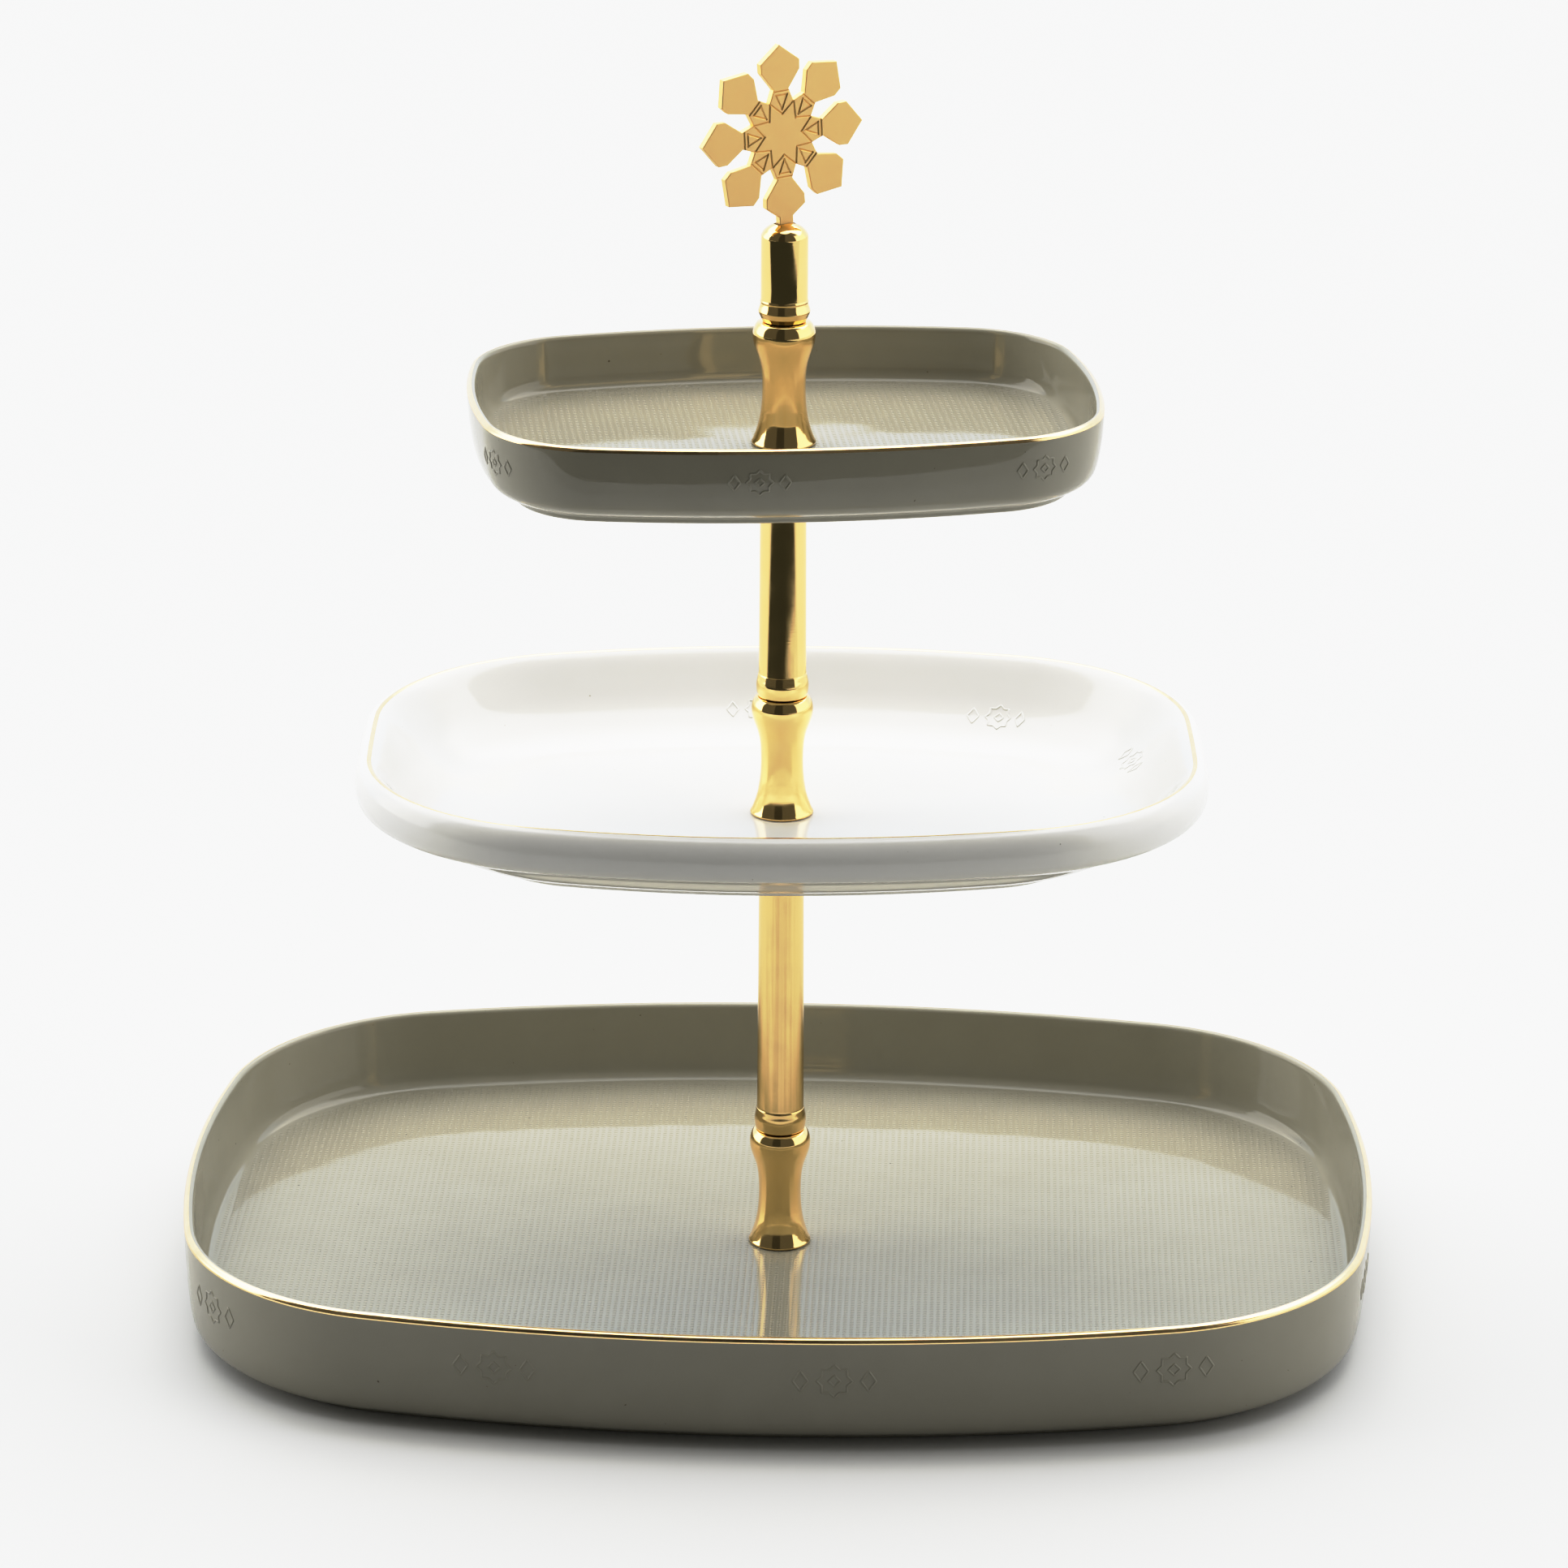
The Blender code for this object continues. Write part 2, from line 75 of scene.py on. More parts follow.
# Tray outlines: half length, half width, long side's arc, short side's arc, corner radius
BOTTOM_OUTLINE = (0.160, 0.120, 0.485, 0.346, 0.067)
MIDDLE_OUTLINE = (0.1095, 0.0805, 0.282, 0.900, 0.059)
TOP_OUTLINE = (0.0825, 0.0613, 0.278, 0.182, 0.0324)
LONG_STEPS, CORNER_STEPS, SHORT_STEPS = 18, 26, 14  # points along each arc of a quarter outline

# Tray sections from the floor's edge over the rim to the underside, as
# (distance inside the rim's outline, height above the floor at the hole), in millimetres
BOTTOM_SECTION = (
    (9.0, 0.8), (6.3, 1.4), (4.4, 3.2), (3.6, 6.2), (2.9, 21.8),
    (2.7, 23.0), (2.0, 23.6), (1.0, 23.6), (0.2, 23.0), (0.0, 22.0),
    (0.6, 8.0), (1.4, -1.0), (2.6, -3.6), (5.0, -5.4), (8.6, -6.3),
    (9.9, -8.4), (12.9, -8.4), (14.4, -3.6),
)
MIDDLE_SECTION = (
    (30.0, 1.0), (20.0, 3.2), (12.0, 8.5), (7.0, 14.5), (3.4, 19.2), (1.2, 20.9),
    (0.0, 20.9), (-1.6, 20.0), (-2.8, 17.5), (-3.2, 14.5), (-2.8, 11.5), (-1.4, 9.3),
    (1.5, 8.5), (10.0, 5.0), (17.0, 0.6), (24.0, -2.6), (30.0, -4.5),
    (31.2, -6.1), (34.0, -6.1), (35.3, -3.6),
)
TOP_SECTION = (
    (8.4, 0.5), (5.6, 1.0), (4.0, 2.6), (3.3, 5.2), (2.6, 13.8),
    (2.4, 15.0), (1.8, 15.6), (0.9, 15.6), (0.2, 15.0), (0.0, 14.1),
    (0.5, 7.0), (1.6, 0.5), (3.2, -2.2), (6.2, -3.9), (8.2, -4.4),
    (8.8, -6.3), (11.4, -6.3), (12.6, -3.4),
)
BOTTOM_THICKNESS = 0.0038  # at the centre hole
MIDDLE_THICKNESS = 0.0038
TOP_THICKNESS = 0.0036
MIDDLE_TURN = math.radians(2.0)
TOP_TURN = math.radians(7.5)
SECTION_EASE = 0.004  # how far a section's corners are rounded, at most
SECTION_STEPS = 6
HOLE_EASE = 0.0003

# Gilding, as stretches of the section: from this inset and height to that, in millimetres
BOTTOM_GILT = ((1.5, 23.6), (0.05, 22.35))
MIDDLE_GILT = ((1.35, 20.8), (0.1, 20.9))
TOP_GILT = ((1.35, 15.6), (0.03, 14.45))
GILT_LIFT = 0.00004
GILT_BODY = 0.00012

# Low relief of generic motifs: where the motif's centre is on the section, as (inset, height)
# in millimetres, its size, and its places as distances round the tray from the front's middle
BOTTOM_RELIEF = ((0.35, 13.5), 0.0046, [0.018 + 0.0875 * i for i in range(-5, 6)])
TOP_RELIEF = ((0.5, 7.2), 0.0034, [-0.012 + 0.0745 * i for i in range(-3, 4)])
MIDDLE_RELIEF = ((14.0, 7.0), 0.0040, [0.115, 0.185, 0.255, 0.325])
RELIEF_RADIUS = 0.00036
RELIEF_SINK = 0.00016
RELIEF_SIDES = 8
RELIEF_STEP = 0.0005

# The motif: a star round a small lozenge, between two tall ones, in sizes of the star
MIDDLE_LOZENGE = 0.34  # half its width and height
SIDE_LOZENGE = (0.42, 0.62)  # half its width, half its height
SIDE_LOZENGE_PLACE = 1.9

# Spool, from its top joint down to its foot, as (radius, height above the foot), in millimetres
SPOOL_KNOTS = (
    (6.6, 32.6), (7.15, 32.3), (7.7, 31.4), (8.1, 30.1), (8.2, 28.8), (8.02, 27.2),
    (7.6, 25.7), (7.1, 24.3), (6.5, 22.5), (6.06, 20.5), (5.78, 18.0), (5.68, 14.8),
    (5.74, 12.0), (5.93, 9.5), (6.13, 8.0), (6.48, 6.0), (7.0, 4.0), (7.5, 2.5), (8.0, 1.2),
    (8.4, 0.4),
)
SPOOL_BASE = ((8.42, 0.25), (8.3, 0.0))  # the foot's small lower edge
SMOOTH_STEPS = 6
FOOT_RECESS_RADIUS = 0.0074
FOOT_RECESS_DEPTH = 0.0009

# Rods and ferrule, as (radius, height above the joint), in millimetres
BEAD_TOP = ((6.31, 6.15), (6.34, 6.05))  # the crease where the rod meets its bead
BEAD_KNOTS = (
    (6.38, 6.0), (6.46, 5.85), (6.56, 5.35), (6.68, 4.7), (6.80, 4.1), (6.90, 3.5),
    (6.95, 3.0), (6.95, 2.2), (6.85, 1.1), (6.72, 0.4), (6.6, 0.0),
)
FERRULE_SECTION = (
    (6.2, 9.0), (6.2, 5.6), (6.35, 5.35), (6.35, 5.05), (6.22, 4.9), (6.4, 4.0), (6.75, 3.0),
    (6.85, 2.5), (5.7, 0.0),
)
FERRULE_RADIUS = 0.0062
FERRULE_DOME = 0.0040
DOME_STEPS = 16
LOWER_ROD_TOP_RADIUS = 0.0060
UPPER_ROD_TOP_RADIUS = 0.0061
METAL_EASE = 0.00025  # rounding of a turned piece's edges

SCREW_HEAD_HEIGHT = 0.0017
SCREW_EASE = 0.0006
SCREW_EASE_STEPS = 5
CROSS_SLOT = (0.0056, 0.0011, 0.0018)  # length, width, twice the depth

# Medallion
PETALS = 8
PLATE_THICKNESS = 0.0023
ROSETTE_CENTRE = 0.3167
MEDALLION_TURN = math.radians(31.0)
MEDALLION_LEAN = math.radians(3.0)
NOTCH_RADIUS = 0.0091
PETAL_HALF = ((0.0022, 0.0118), (0.0056, 0.0165), (0.0057, 0.0190))
PETAL_TIP = 0.0235
TANG_HALF_WIDTH = 0.0020
TANG_SHOULDER = 0.0218
TANG_END = 0.0288
TANG_CLEARANCE = 0.0006
SLOT_DEPTH = 0.0060
PLATE_EASE = 0.0002
GROOVE_HALF_WIDTH = 0.00028
GROOVE_DEPTH = 0.00025
GROOVE_FLARE = 1.5  # the cutter's top is this much wider, half the groove's depth above the face
STAR_INNER = 0.0054  # inner corners of the engraved star
TRIANGLE = (0.0066, 0.0103, 0.0016)  # apex and base from the centre, half the base's width
CROSS_LINE = (0.0113, 0.0021)  # distance from the centre, half length


# ---- Shader nodes ----


class Nodes:
    """Adds nodes to one material's or world's tree, and joins them up."""

    def __init__(self, tree):
        self.tree = tree

    def add(self, kind, **settings):
        node = self.tree.nodes.new(kind)
        for name, value in settings.items():
            setattr(node, name, value)
        return node

    def feed(self, socket, value):
        if isinstance(value, bpy.types.NodeSocket):
            self.tree.links.new(value, socket)
        else:
            socket.default_value = value

    def math(self, operation, *values):
        node = self.add("ShaderNodeMath", operation=operation)
        for socket, value in zip(node.inputs, values):
            self.feed(socket, value)
        return node.outputs[0]

    def ramp(self, value, low, high, to_low=0.0, to_high=1.0):
        """value taken smoothly from low..high to to_low..to_high. low may be the higher one."""
        node = self.add("ShaderNodeMapRange", interpolation_type="SMOOTHSTEP")
        for name, given in (
            ("Value", value), ("From Min", low), ("From Max", high),
            ("To Min", to_low), ("To Max", to_high),
        ):
            self.feed(node.inputs[name], given)
        return node.outputs["Result"]

    def noise(self, place, scale, detail=2.0, roughness=0.5):
        node = self.add("ShaderNodeTexNoise")
        self.feed(node.inputs["Vector"], place)
        node.inputs["Scale"].default_value = scale
        node.inputs["Detail"].default_value = detail
        node.inputs["Roughness"].default_value = roughness
        return node.outputs["Fac"]

    def axes(self, vector):
        """The X, Y and Z outputs of a vector."""
        node = self.add("ShaderNodeSeparateXYZ")
        self.feed(node.inputs[0], vector)
        return node.outputs

    def mix(self, factor, first, second):
        node = self.add("ShaderNodeMix", data_type="RGBA")
        self.feed(node.inputs["Factor"], factor)
        self.feed(node.inputs[6], first)
        self.feed(node.inputs[7], second)
        return node.outputs[2]

    def bump(self, height, distance, strength=1.0, over=None):
        node = self.add("ShaderNodeBump")
        node.inputs["Strength"].default_value = strength
        node.inputs["Distance"].default_value = distance
        self.feed(node.inputs["Height"], height)
        if over:
            self.feed(node.inputs["Normal"], over)
        return node.outputs["Normal"]


def colour(red, green, blue):
    return (red, green, blue, 1.0)


def grey(level):
    """A grey with a trace less blue."""
    return colour(level, level, 0.99 * level)


def new_material(name):
    """A material with a Principled shader: its node helper, shader and object coordinates."""
    made = bpy.data.materials.new(name)
    made.use_nodes = True
    nodes = Nodes(made.node_tree)
    shader = made.node_tree.nodes["Principled BSDF"]
    place = nodes.add("ShaderNodeTexCoord").outputs["Object"]
    return made, nodes, shader, place


MOST_OF_NOISE = (0.3, 0.7)  # the values that noise mostly has


def patchy_roughness(nodes, shader, patches, smooth, rough):
    nodes.feed(shader.inputs["Roughness"], nodes.ramp(patches, *MOST_OF_NOISE, smooth, rough))


DOT_SPACING = (0.00175, 0.0016)  # along the tray's length and width
DOT_EDGE = (0.3, 1.7)  # where the sum of the two waves turns into a dot
DOT_HEIGHT = 0.00009
FLOOR_BAND = (-0.0010, 0.0010)  # heights of a tray's floor, in the tray's own frame
FLOOR_FADE = 0.0004
FACES_UP = (0.85, 0.95)  # how far a surface's normal points up where dots start and are in full


def dot_grid(nodes, place):
    """Height, from 0 to 1, of the fine embossed dots on a grey tray's floor."""
    axes = nodes.axes(place)
    waves = [
        nodes.math("COSINE", nodes.math("MULTIPLY", axis, math.tau / spacing))
        for axis, spacing in zip(axes, DOT_SPACING)
    ]
    dots = nodes.ramp(nodes.math("ADD", *waves), *DOT_EDGE)
    normal = nodes.axes(nodes.add("ShaderNodeTexCoord").outputs["Normal"])
    dots = nodes.math("MULTIPLY", dots, nodes.ramp(normal[2], *FACES_UP))
    low, high = FLOOR_BAND
    above = nodes.ramp(axes[2], low, low + FLOOR_FADE)
    below = nodes.ramp(axes[2], high + FLOOR_FADE, high)
    return nodes.math("MULTIPLY", dots, nodes.math("MULTIPLY", above, below))


GLAZE_IOR = 1.52
GLAZE_WAVE = 0.00012  # height of the glaze's unevenness
# Scale and detail of the glazes' noises
SPECKS = (700.0, 1.0)
WAVES = (45.0, 1.0)
POLISH = (220.0, 2.0)
POOLING_DETAIL = 3.0


def glaze(name, pooling, body, speck, speck_edge, roughness, dotted=False):
    """A fired glaze. pooling is the scale of the clouds between the two colours of the body,
    and speck_edge says where the noise turns into a speck."""
    made, nodes, shader, place = new_material(name)
    clouds = nodes.mix(nodes.noise(place, pooling, POOLING_DETAIL), *body)
    specks = nodes.ramp(nodes.noise(place, *SPECKS), *speck_edge)
    nodes.feed(shader.inputs["Base Color"], nodes.mix(specks, clouds, speck))
    normal = nodes.bump(nodes.noise(place, *WAVES), GLAZE_WAVE)
    if dotted:
        normal = nodes.bump(dot_grid(nodes, place), DOT_HEIGHT, over=normal)
    nodes.feed(shader.inputs["Normal"], normal)
    patchy_roughness(nodes, shader, nodes.noise(place, *POLISH), *roughness)
    shader.inputs["IOR"].default_value = GLAZE_IOR
    return made


def grey_glaze():
    body = colour(0.36, 0.34, 0.265), colour(0.40, 0.38, 0.30)
    speck = colour(0.16, 0.14, 0.10)
    return glaze("grey_glaze_surface", 60.0, body, speck, (0.80, 0.84), (0.035, 0.07), dotted=True)


def white_glaze():
    body = colour(0.91, 0.90, 0.86), colour(0.95, 0.94, 0.91)
    speck = colour(0.45, 0.42, 0.35)
    return glaze("white_glaze_surface", 40.0, body, speck, (0.81, 0.85), (0.04, 0.08))


PLATED_ROUGHNESS = 0.06
PLATED_COLOURS = ((0.92, 0.645, 0.265), (0.96, 0.695, 0.315))
SMUDGES = (160.0, 4.0)  # scale and detail, as in the next two
STREAKS = (1400.0, 2.0)
TURNING_LINES = (2600.0, 2.0)
TURNING_DEPTH = 0.000004
STREAK_SQUEEZE = 0.02  # draws the streaks out along the axis
STREAK_EDGE = (0.35, 0.65)
STREAK_SHARE = (0.6, 1.0)  # of the rod's own roughness
SMUDGE_EDGE = (0.35, 0.75)
SMUDGE_ROUGHNESS = 0.05
BEAD_FADE = 0.0005


def plated_gold(name, roughness=PLATED_ROUGHNESS, stretch=0.0, bead_top=0.0, painted_shade=1.0):
    """Plated turnings, with faint turning lines and wiped smudges. Above the height bead_top
    the roughness is as given, with streaks along the axis, and below it is the spools'.
    Stretch, from 0 to 1, blurs reflections along the axis, and the last argument darkens the
    metal: a painted shade, which stands in for the darker reflections on the lower rod."""
    made, nodes, shader, place = new_material(name)
    shader.inputs["Metallic"].default_value = 1.0
    shader.inputs["Anisotropic"].default_value = stretch
    shader.inputs["Anisotropic Rotation"].default_value = 0.25  # a quarter turn
    round_axis = nodes.add("ShaderNodeTangent", direction_type="RADIAL", axis="Z")
    nodes.feed(shader.inputs["Tangent"], round_axis.outputs[0])
    smudge = nodes.noise(place, *SMUDGES)
    shaded = [colour(*(painted_shade * part for part in plain)) for plain in PLATED_COLOURS]
    nodes.feed(shader.inputs["Base Color"], nodes.mix(smudge, *shaded))
    height = nodes.axes(place)[2]
    drawn_out = nodes.add("ShaderNodeMapping")
    drawn_out.inputs["Scale"].default_value = (1.0, 1.0, STREAK_SQUEEZE)
    nodes.feed(drawn_out.inputs["Vector"], place)
    streaks = nodes.noise(drawn_out.outputs[0], *STREAKS)
    streaks = nodes.ramp(streaks, *STREAK_EDGE, *STREAK_SHARE)
    above = nodes.ramp(height, bead_top, bead_top + BEAD_FADE, 0.0, roughness - PLATED_ROUGHNESS)
    finish = nodes.math("ADD", nodes.math("MULTIPLY", above, streaks), PLATED_ROUGHNESS)
    wiped = nodes.ramp(smudge, *SMUDGE_EDGE, 0.0, SMUDGE_ROUGHNESS)
    nodes.feed(shader.inputs["Roughness"], nodes.math("ADD", finish, wiped))
    height_only = nodes.add("ShaderNodeCombineXYZ")
    nodes.feed(height_only.inputs[2], height)
    turning = nodes.noise(height_only.outputs[0], *TURNING_LINES)
    nodes.feed(shader.inputs["Normal"], nodes.bump(turning, TURNING_DEPTH))
    return made


def mottled(name, metallic, colours, patches, roughness, grain, grain_depth):
    """A surface whose colour and roughness vary in patches, under a fine grain. patches and
    grain are the scale and detail of their noises, and grain_depth is in metres."""
    made, nodes, shader, place = new_material(name)
    shader.inputs["Metallic"].default_value = metallic
    patch = nodes.noise(place, *patches)
    nodes.feed(shader.inputs["Base Color"], nodes.mix(patch, *colours))
    patchy_roughness(nodes, shader, patch, *roughness)
    nodes.feed(shader.inputs["Normal"], nodes.bump(nodes.noise(place, *grain), grain_depth))
    return made


def satin_gold():
    """The medallion's fine satin surface."""
    colours = colour(0.87, 0.62, 0.27), colour(0.93, 0.67, 0.31)
    return mottled("satin_gold_surface", 1.0, colours, (260.0, 4.0), (0.44, 0.52),
                   (5200.0, 3.0), 0.000004)


def gilding():
    """Fired gilding on a glazed rim: thin, with a slightly uneven brushed surface."""
    colours = colour(0.88, 0.63, 0.31), colour(0.95, 0.72, 0.40)
    return mottled("gilt_rim_surface", 1.0, colours, (320.0, 3.0), (0.10, 0.20),
                   (320.0, 3.0), 0.00002)


def zinc_steel():
    colours = colour(0.50, 0.50, 0.49), colour(0.68, 0.69, 0.70)
    return mottled("zinc_steel_surface", 1.0, colours, (500.0, 4.0), (0.24, 0.40),
                   (3000.0, 2.0), 0.00001)


def grey_rubber():
    colours = colour(0.20, 0.20, 0.19), colour(0.30, 0.30, 0.28)
    return mottled("clear_grey_rubber_surface", 0.0, colours, (350.0, 3.0), (0.50, 0.66),
                   (2500.0, 3.0), 0.00003)


# ---- Lines and profiles ----


def in_metres(section):
    return [Vector(point) * MM for point in section]


def raised(section, height):
    return [Vector((radius, z + height)) for radius, z in section]


def smoothed(knots, steps):
    """A Catmull-Rom curve through the knots, with this many steps between neighbours."""
    points = [Vector(knot) for knot in knots]
    padded = [2 * points[0] - points[1], *points, 2 * points[-1] - points[-2]]
    curve = []
    for before, start, end, after in zip(padded, padded[1:], padded[2:], padded[3:]):
        for step in range(steps):
            t = step / steps
            pull = (end - before) * t + (2 * before - 5 * start + 4 * end - after) * t**2
            bend = (3 * start - before - 3 * end + after) * t**3
            curve.append(start + (pull + bend) / 2)
    curve.append(points[-1])
    return curve


def eased(points, reach, steps, closed=False):
    """The line with each corner replaced by a curve that starts up to reach before it."""
    points = [Vector(point) for point in points]
    last = len(points) - 1
    line = []
    for i, corner in enumerate(points):
        if not closed and i in (0, last):
            line.append(corner)
            continue
        before, after = points[i - 1] - corner, points[(i + 1) % len(points)] - corner
        start = corner + before * min(reach / before.length, 0.5)
        end = corner + after * min(reach / after.length, 0.5)
        for step in range(steps + 1):
            t = step / steps
            line.append(start * (1 - t) ** 2 + corner * 2 * t * (1 - t) + end * t**2)
    return without_repeats(line, closed)


def without_repeats(line, closed):
    """The line without points that lie on the one before them."""
    apart = 1e-7
    kept = [line[0]]
    for point in line[1:]:
        if (point - kept[-1]).length > apart:
            kept.append(point)
    if closed and (kept[-1] - kept[0]).length < apart:
        kept.pop()
    return kept


# ---- Meshes ----


def new_piece(name, shape, sharp=SHARP):
    """A shaded object from a bmesh."""
    bmesh.ops.recalc_face_normals(shape, faces=shape.faces)
    mesh = bpy.data.meshes.new(name)
    shape.to_mesh(mesh)
    shape.free()
    mesh.shade_smooth()
    mesh.set_sharp_from_angle(angle=math.radians(sharp))
    made = bpy.data.objects.new(name, mesh)
    bpy.context.scene.collection.objects.link(made)
    return made


def bridge(shape, row, following):
    """Faces between two rings. A ring of one vertex is a point on the axis."""
    count = max(len(row), len(following))
    for i in range(count):
        j = (i + 1) % count
        corners = (
            row[i % len(row)],
            following[i % len(following)],
            following[j % len(following)],
            row[j % len(row)],
        )
        shape.faces.new(dict.fromkeys(corners))


def add_skin(shape, rows, closed=False):
    """A closed surface through rings of points. If it isn't closed, it starts and ends on the axis."""
    made = [[shape.verts.new(point) for point in row] for row in rows]
    for row, following in zip(made, made[1:] + (made[:1] if closed else [])):
        bridge(shape, row, following)


def skin(name, rows, closed=False):
    shape = bmesh.new()
    add_skin(shape, rows, closed)
    return new_piece(name, shape)


def circle(radius, height, steps=ROUND_STEPS):
    """A ring of points round the axis, or its one point there."""
    if radius == 0:
        return [Vector((0.0, 0.0, height))]
    angles = [math.tau * step / steps for step in range(steps)]
    return [Vector((radius * math.cos(a), radius * math.sin(a), height)) for a in angles]


def turned(name, profile, closed=False):
    """A profile of (radius, height) spun about the column's axis."""
    return skin(name, [circle(radius, height) for radius, height in profile], closed)


def thread_row(height, bottom, top):
    """One ring of an M6 thread: its radius follows the helix, and fades to the root at each end."""
    lead = min(1.0, (top - height) / THREAD_LEAD_IN, (height - bottom) / THREAD_LEAD_IN)
    points = []
    for step in range(THREAD_STEPS):
        turn = step / THREAD_STEPS
        phase = (height / THREAD_PITCH - turn) % 1.0
        rise = 1.0 - abs(2.0 * phase - 1.0)
        radius = STUD_RADIUS - THREAD_DEPTH * (1.0 - min(rise * THREAD_CREST, 1.0) * max(lead, 0.0))
        angle = math.tau * turn
        points.append(Vector((radius * math.cos(angle), radius * math.sin(angle), height)))
    return points


def thread_rows(bottom, top):
    """Rings of a thread from its top down to its bottom."""
    count = round((top - bottom) / THREAD_PITCH * THREAD_ROWS)
    heights = [top + (bottom - top) * step / count for step in range(count + 1)]
    return [thread_row(height, bottom, top) for height in heights]


def cut(target, cutters, sharp=SHARP_WHERE_CUT, use_self=False):
    """target with the cutters taken away, applied to its mesh. The cutters are removed."""
    for number, cutter in enumerate(cutters):
        modifier = target.modifiers.new(f"cut_{number}", "BOOLEAN")
        modifier.operation = "DIFFERENCE"
        modifier.solver = "EXACT"
        modifier.use_self = use_self
        modifier.object = cutter
    bpy.context.view_layer.update()
    evaluated = target.evaluated_get(bpy.context.evaluated_depsgraph_get())
    result = bpy.data.meshes.new_from_object(evaluated)
    target.modifiers.clear()
    target.data = result
    for cutter in cutters:
        bpy.data.objects.remove(cutter, do_unlink=True)
    result.shade_smooth()
    result.set_sharp_from_angle(angle=math.radians(sharp))
    return target


def box_cutter(size, centre, turn):
    shape = bmesh.new()
    place = Matrix.Translation(centre) @ Matrix.Rotation(turn, 4, "Z")
    bmesh.ops.create_cube(shape, size=1.0, matrix=place @ Matrix.Diagonal((*size, 1.0)))
    return new_piece("cutter", shape)


# ---- Pieces of the column ----


def span(node):
    """Lowest and highest point of a CAD node."""
    low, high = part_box(node)
    return low.z, high.z


def radius_of(node):
    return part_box(node)[1].x


def bored_from_above(top):
    floor = top - BORE_DEPTH
    return [(0.0, floor), (BORE_RADIUS, floor), (BORE_RADIUS, top - METAL_EASE),
            (BORE_RADIUS + METAL_EASE, top)]


def bored_from_below(bottom):
    ceiling = bottom + BORE_DEPTH
    return [(BORE_RADIUS + METAL_EASE, bottom), (BORE_RADIUS, bottom + METAL_EASE),
            (BORE_RADIUS, ceiling), (0.0, ceiling)]


def spool(node):
    bottom, top = span(node)
    side = smoothed(in_metres(SPOOL_KNOTS), SMOOTH_STEPS) + in_metres(SPOOL_BASE)
    recess = bottom + FOOT_RECESS_DEPTH
    foot = [(FOOT_RECESS_RADIUS, bottom), (FOOT_RECESS_RADIUS, recess)]
    return turned(node + "_turned", [
        *bored_from_above(top), *raised(side, bottom), *foot, *bored_from_below(recess),
    ])


def rod(node, top_radius):
    bottom, top = span(node)
    bead = in_metres(BEAD_TOP) + smoothed(in_metres(BEAD_KNOTS), SMOOTH_STEPS)
    return turned(node + "_turned", [
        *bored_from_above(top),
        (top_radius - METAL_EASE, top),
        (top_radius, top - METAL_EASE),
        *raised(bead, bottom),
        *bored_from_below(bottom),
    ])


def dome(side_top):
    """A quarter ellipse from the ferrule's top down to its straight side."""
    angles = [math.pi / 2 * (1 - step / DOME_STEPS) for step in range(DOME_STEPS + 1)]
    points = [
        (FERRULE_RADIUS * math.cos(angle), side_top + FERRULE_DOME * math.sin(angle))
        for angle in angles
    ]
    return [(0.0, points[0][1]), *points[1:]]


def ferrule(node):
    bottom, top = span(node)
    side = eased(in_metres(FERRULE_SECTION), METAL_EASE, EASE_STEPS)
    made = turned(node + "_turned", [
        *dome(top - FERRULE_DOME), *raised(side, bottom), *bored_from_below(bottom),
    ])
    size = (2 * (TANG_HALF_WIDTH + TANG_CLEARANCE), PLATE_THICKNESS + 2 * HOLE_EASE,
            2 * SLOT_DEPTH)
    return cut(made, [box_cutter(size, (0.0, 0.0, top), MEDALLION_TURN)])


def flat_ring(node):
    """A washer or gasket with rounded edges."""
    bottom, top = span(node)
    outer = radius_of(node)
    corners = [(HOLE_RADIUS, top), (outer, top), (outer, bottom), (HOLE_RADIUS, bottom)]
    return turned(node + "_ring", eased(corners, METAL_EASE, EASE_STEPS, closed=True), closed=True)


def threaded_stud(node):
    bottom, top = span(node)
    return skin(node + "_thread", [circle(0, top), *thread_rows(bottom, top), circle(0, bottom)])


def cross_screw(node):
    """A low-head screw that points up, with a cross recess in its head."""
    bottom, top = span(node)
    head = radius_of(node)
    head_top = bottom + SCREW_HEAD_HEIGHT
    corners = [(STUD_RADIUS, head_top), (head, head_top), (head, bottom), (0.0, bottom)]
    line = eased(corners, SCREW_EASE, SCREW_EASE_STEPS)
    head_rows = [circle(radius, height, THREAD_STEPS) for radius, height in line]
    shaft_rows = thread_rows(head_top + METAL_EASE, top)
    made = skin(node + "_thread", [circle(0, top), *shaft_rows, *head_rows])
    turns = (math.pi / 4, 3 * math.pi / 4)
    return cut(made, [box_cutter(CROSS_SLOT, (0.0, 0.0, bottom), turn) for turn in turns])


# ---- Trays ----


def arc(centre, radius, start, end, steps):
    """Points along an arc, without its last one."""
    angles = [start + (end - start) * step / steps for step in range(steps)]
    return [centre + radius * Vector((math.cos(a), math.sin(a))) for a in angles]


def corner_centre(outline):
    """Centre of the corner arc that touches both side arcs from inside."""
    half_length, half_width, long_arc, short_arc, corner = outline
    long_centre = Vector((0.0, half_width - long_arc))
    short_centre = Vector((half_length - short_arc, 0.0))
    from_long, from_short = long_arc - corner, short_arc - corner
    between = short_centre - long_centre
    along = (from_long**2 - from_short**2 + between.length**2) / (2 * between.length)
    across = math.sqrt(from_long**2 - along**2)
    direction = between.normalized()
    outwards = Vector((direction.y, -direction.x))
    return long_centre + direction * along + outwards * across


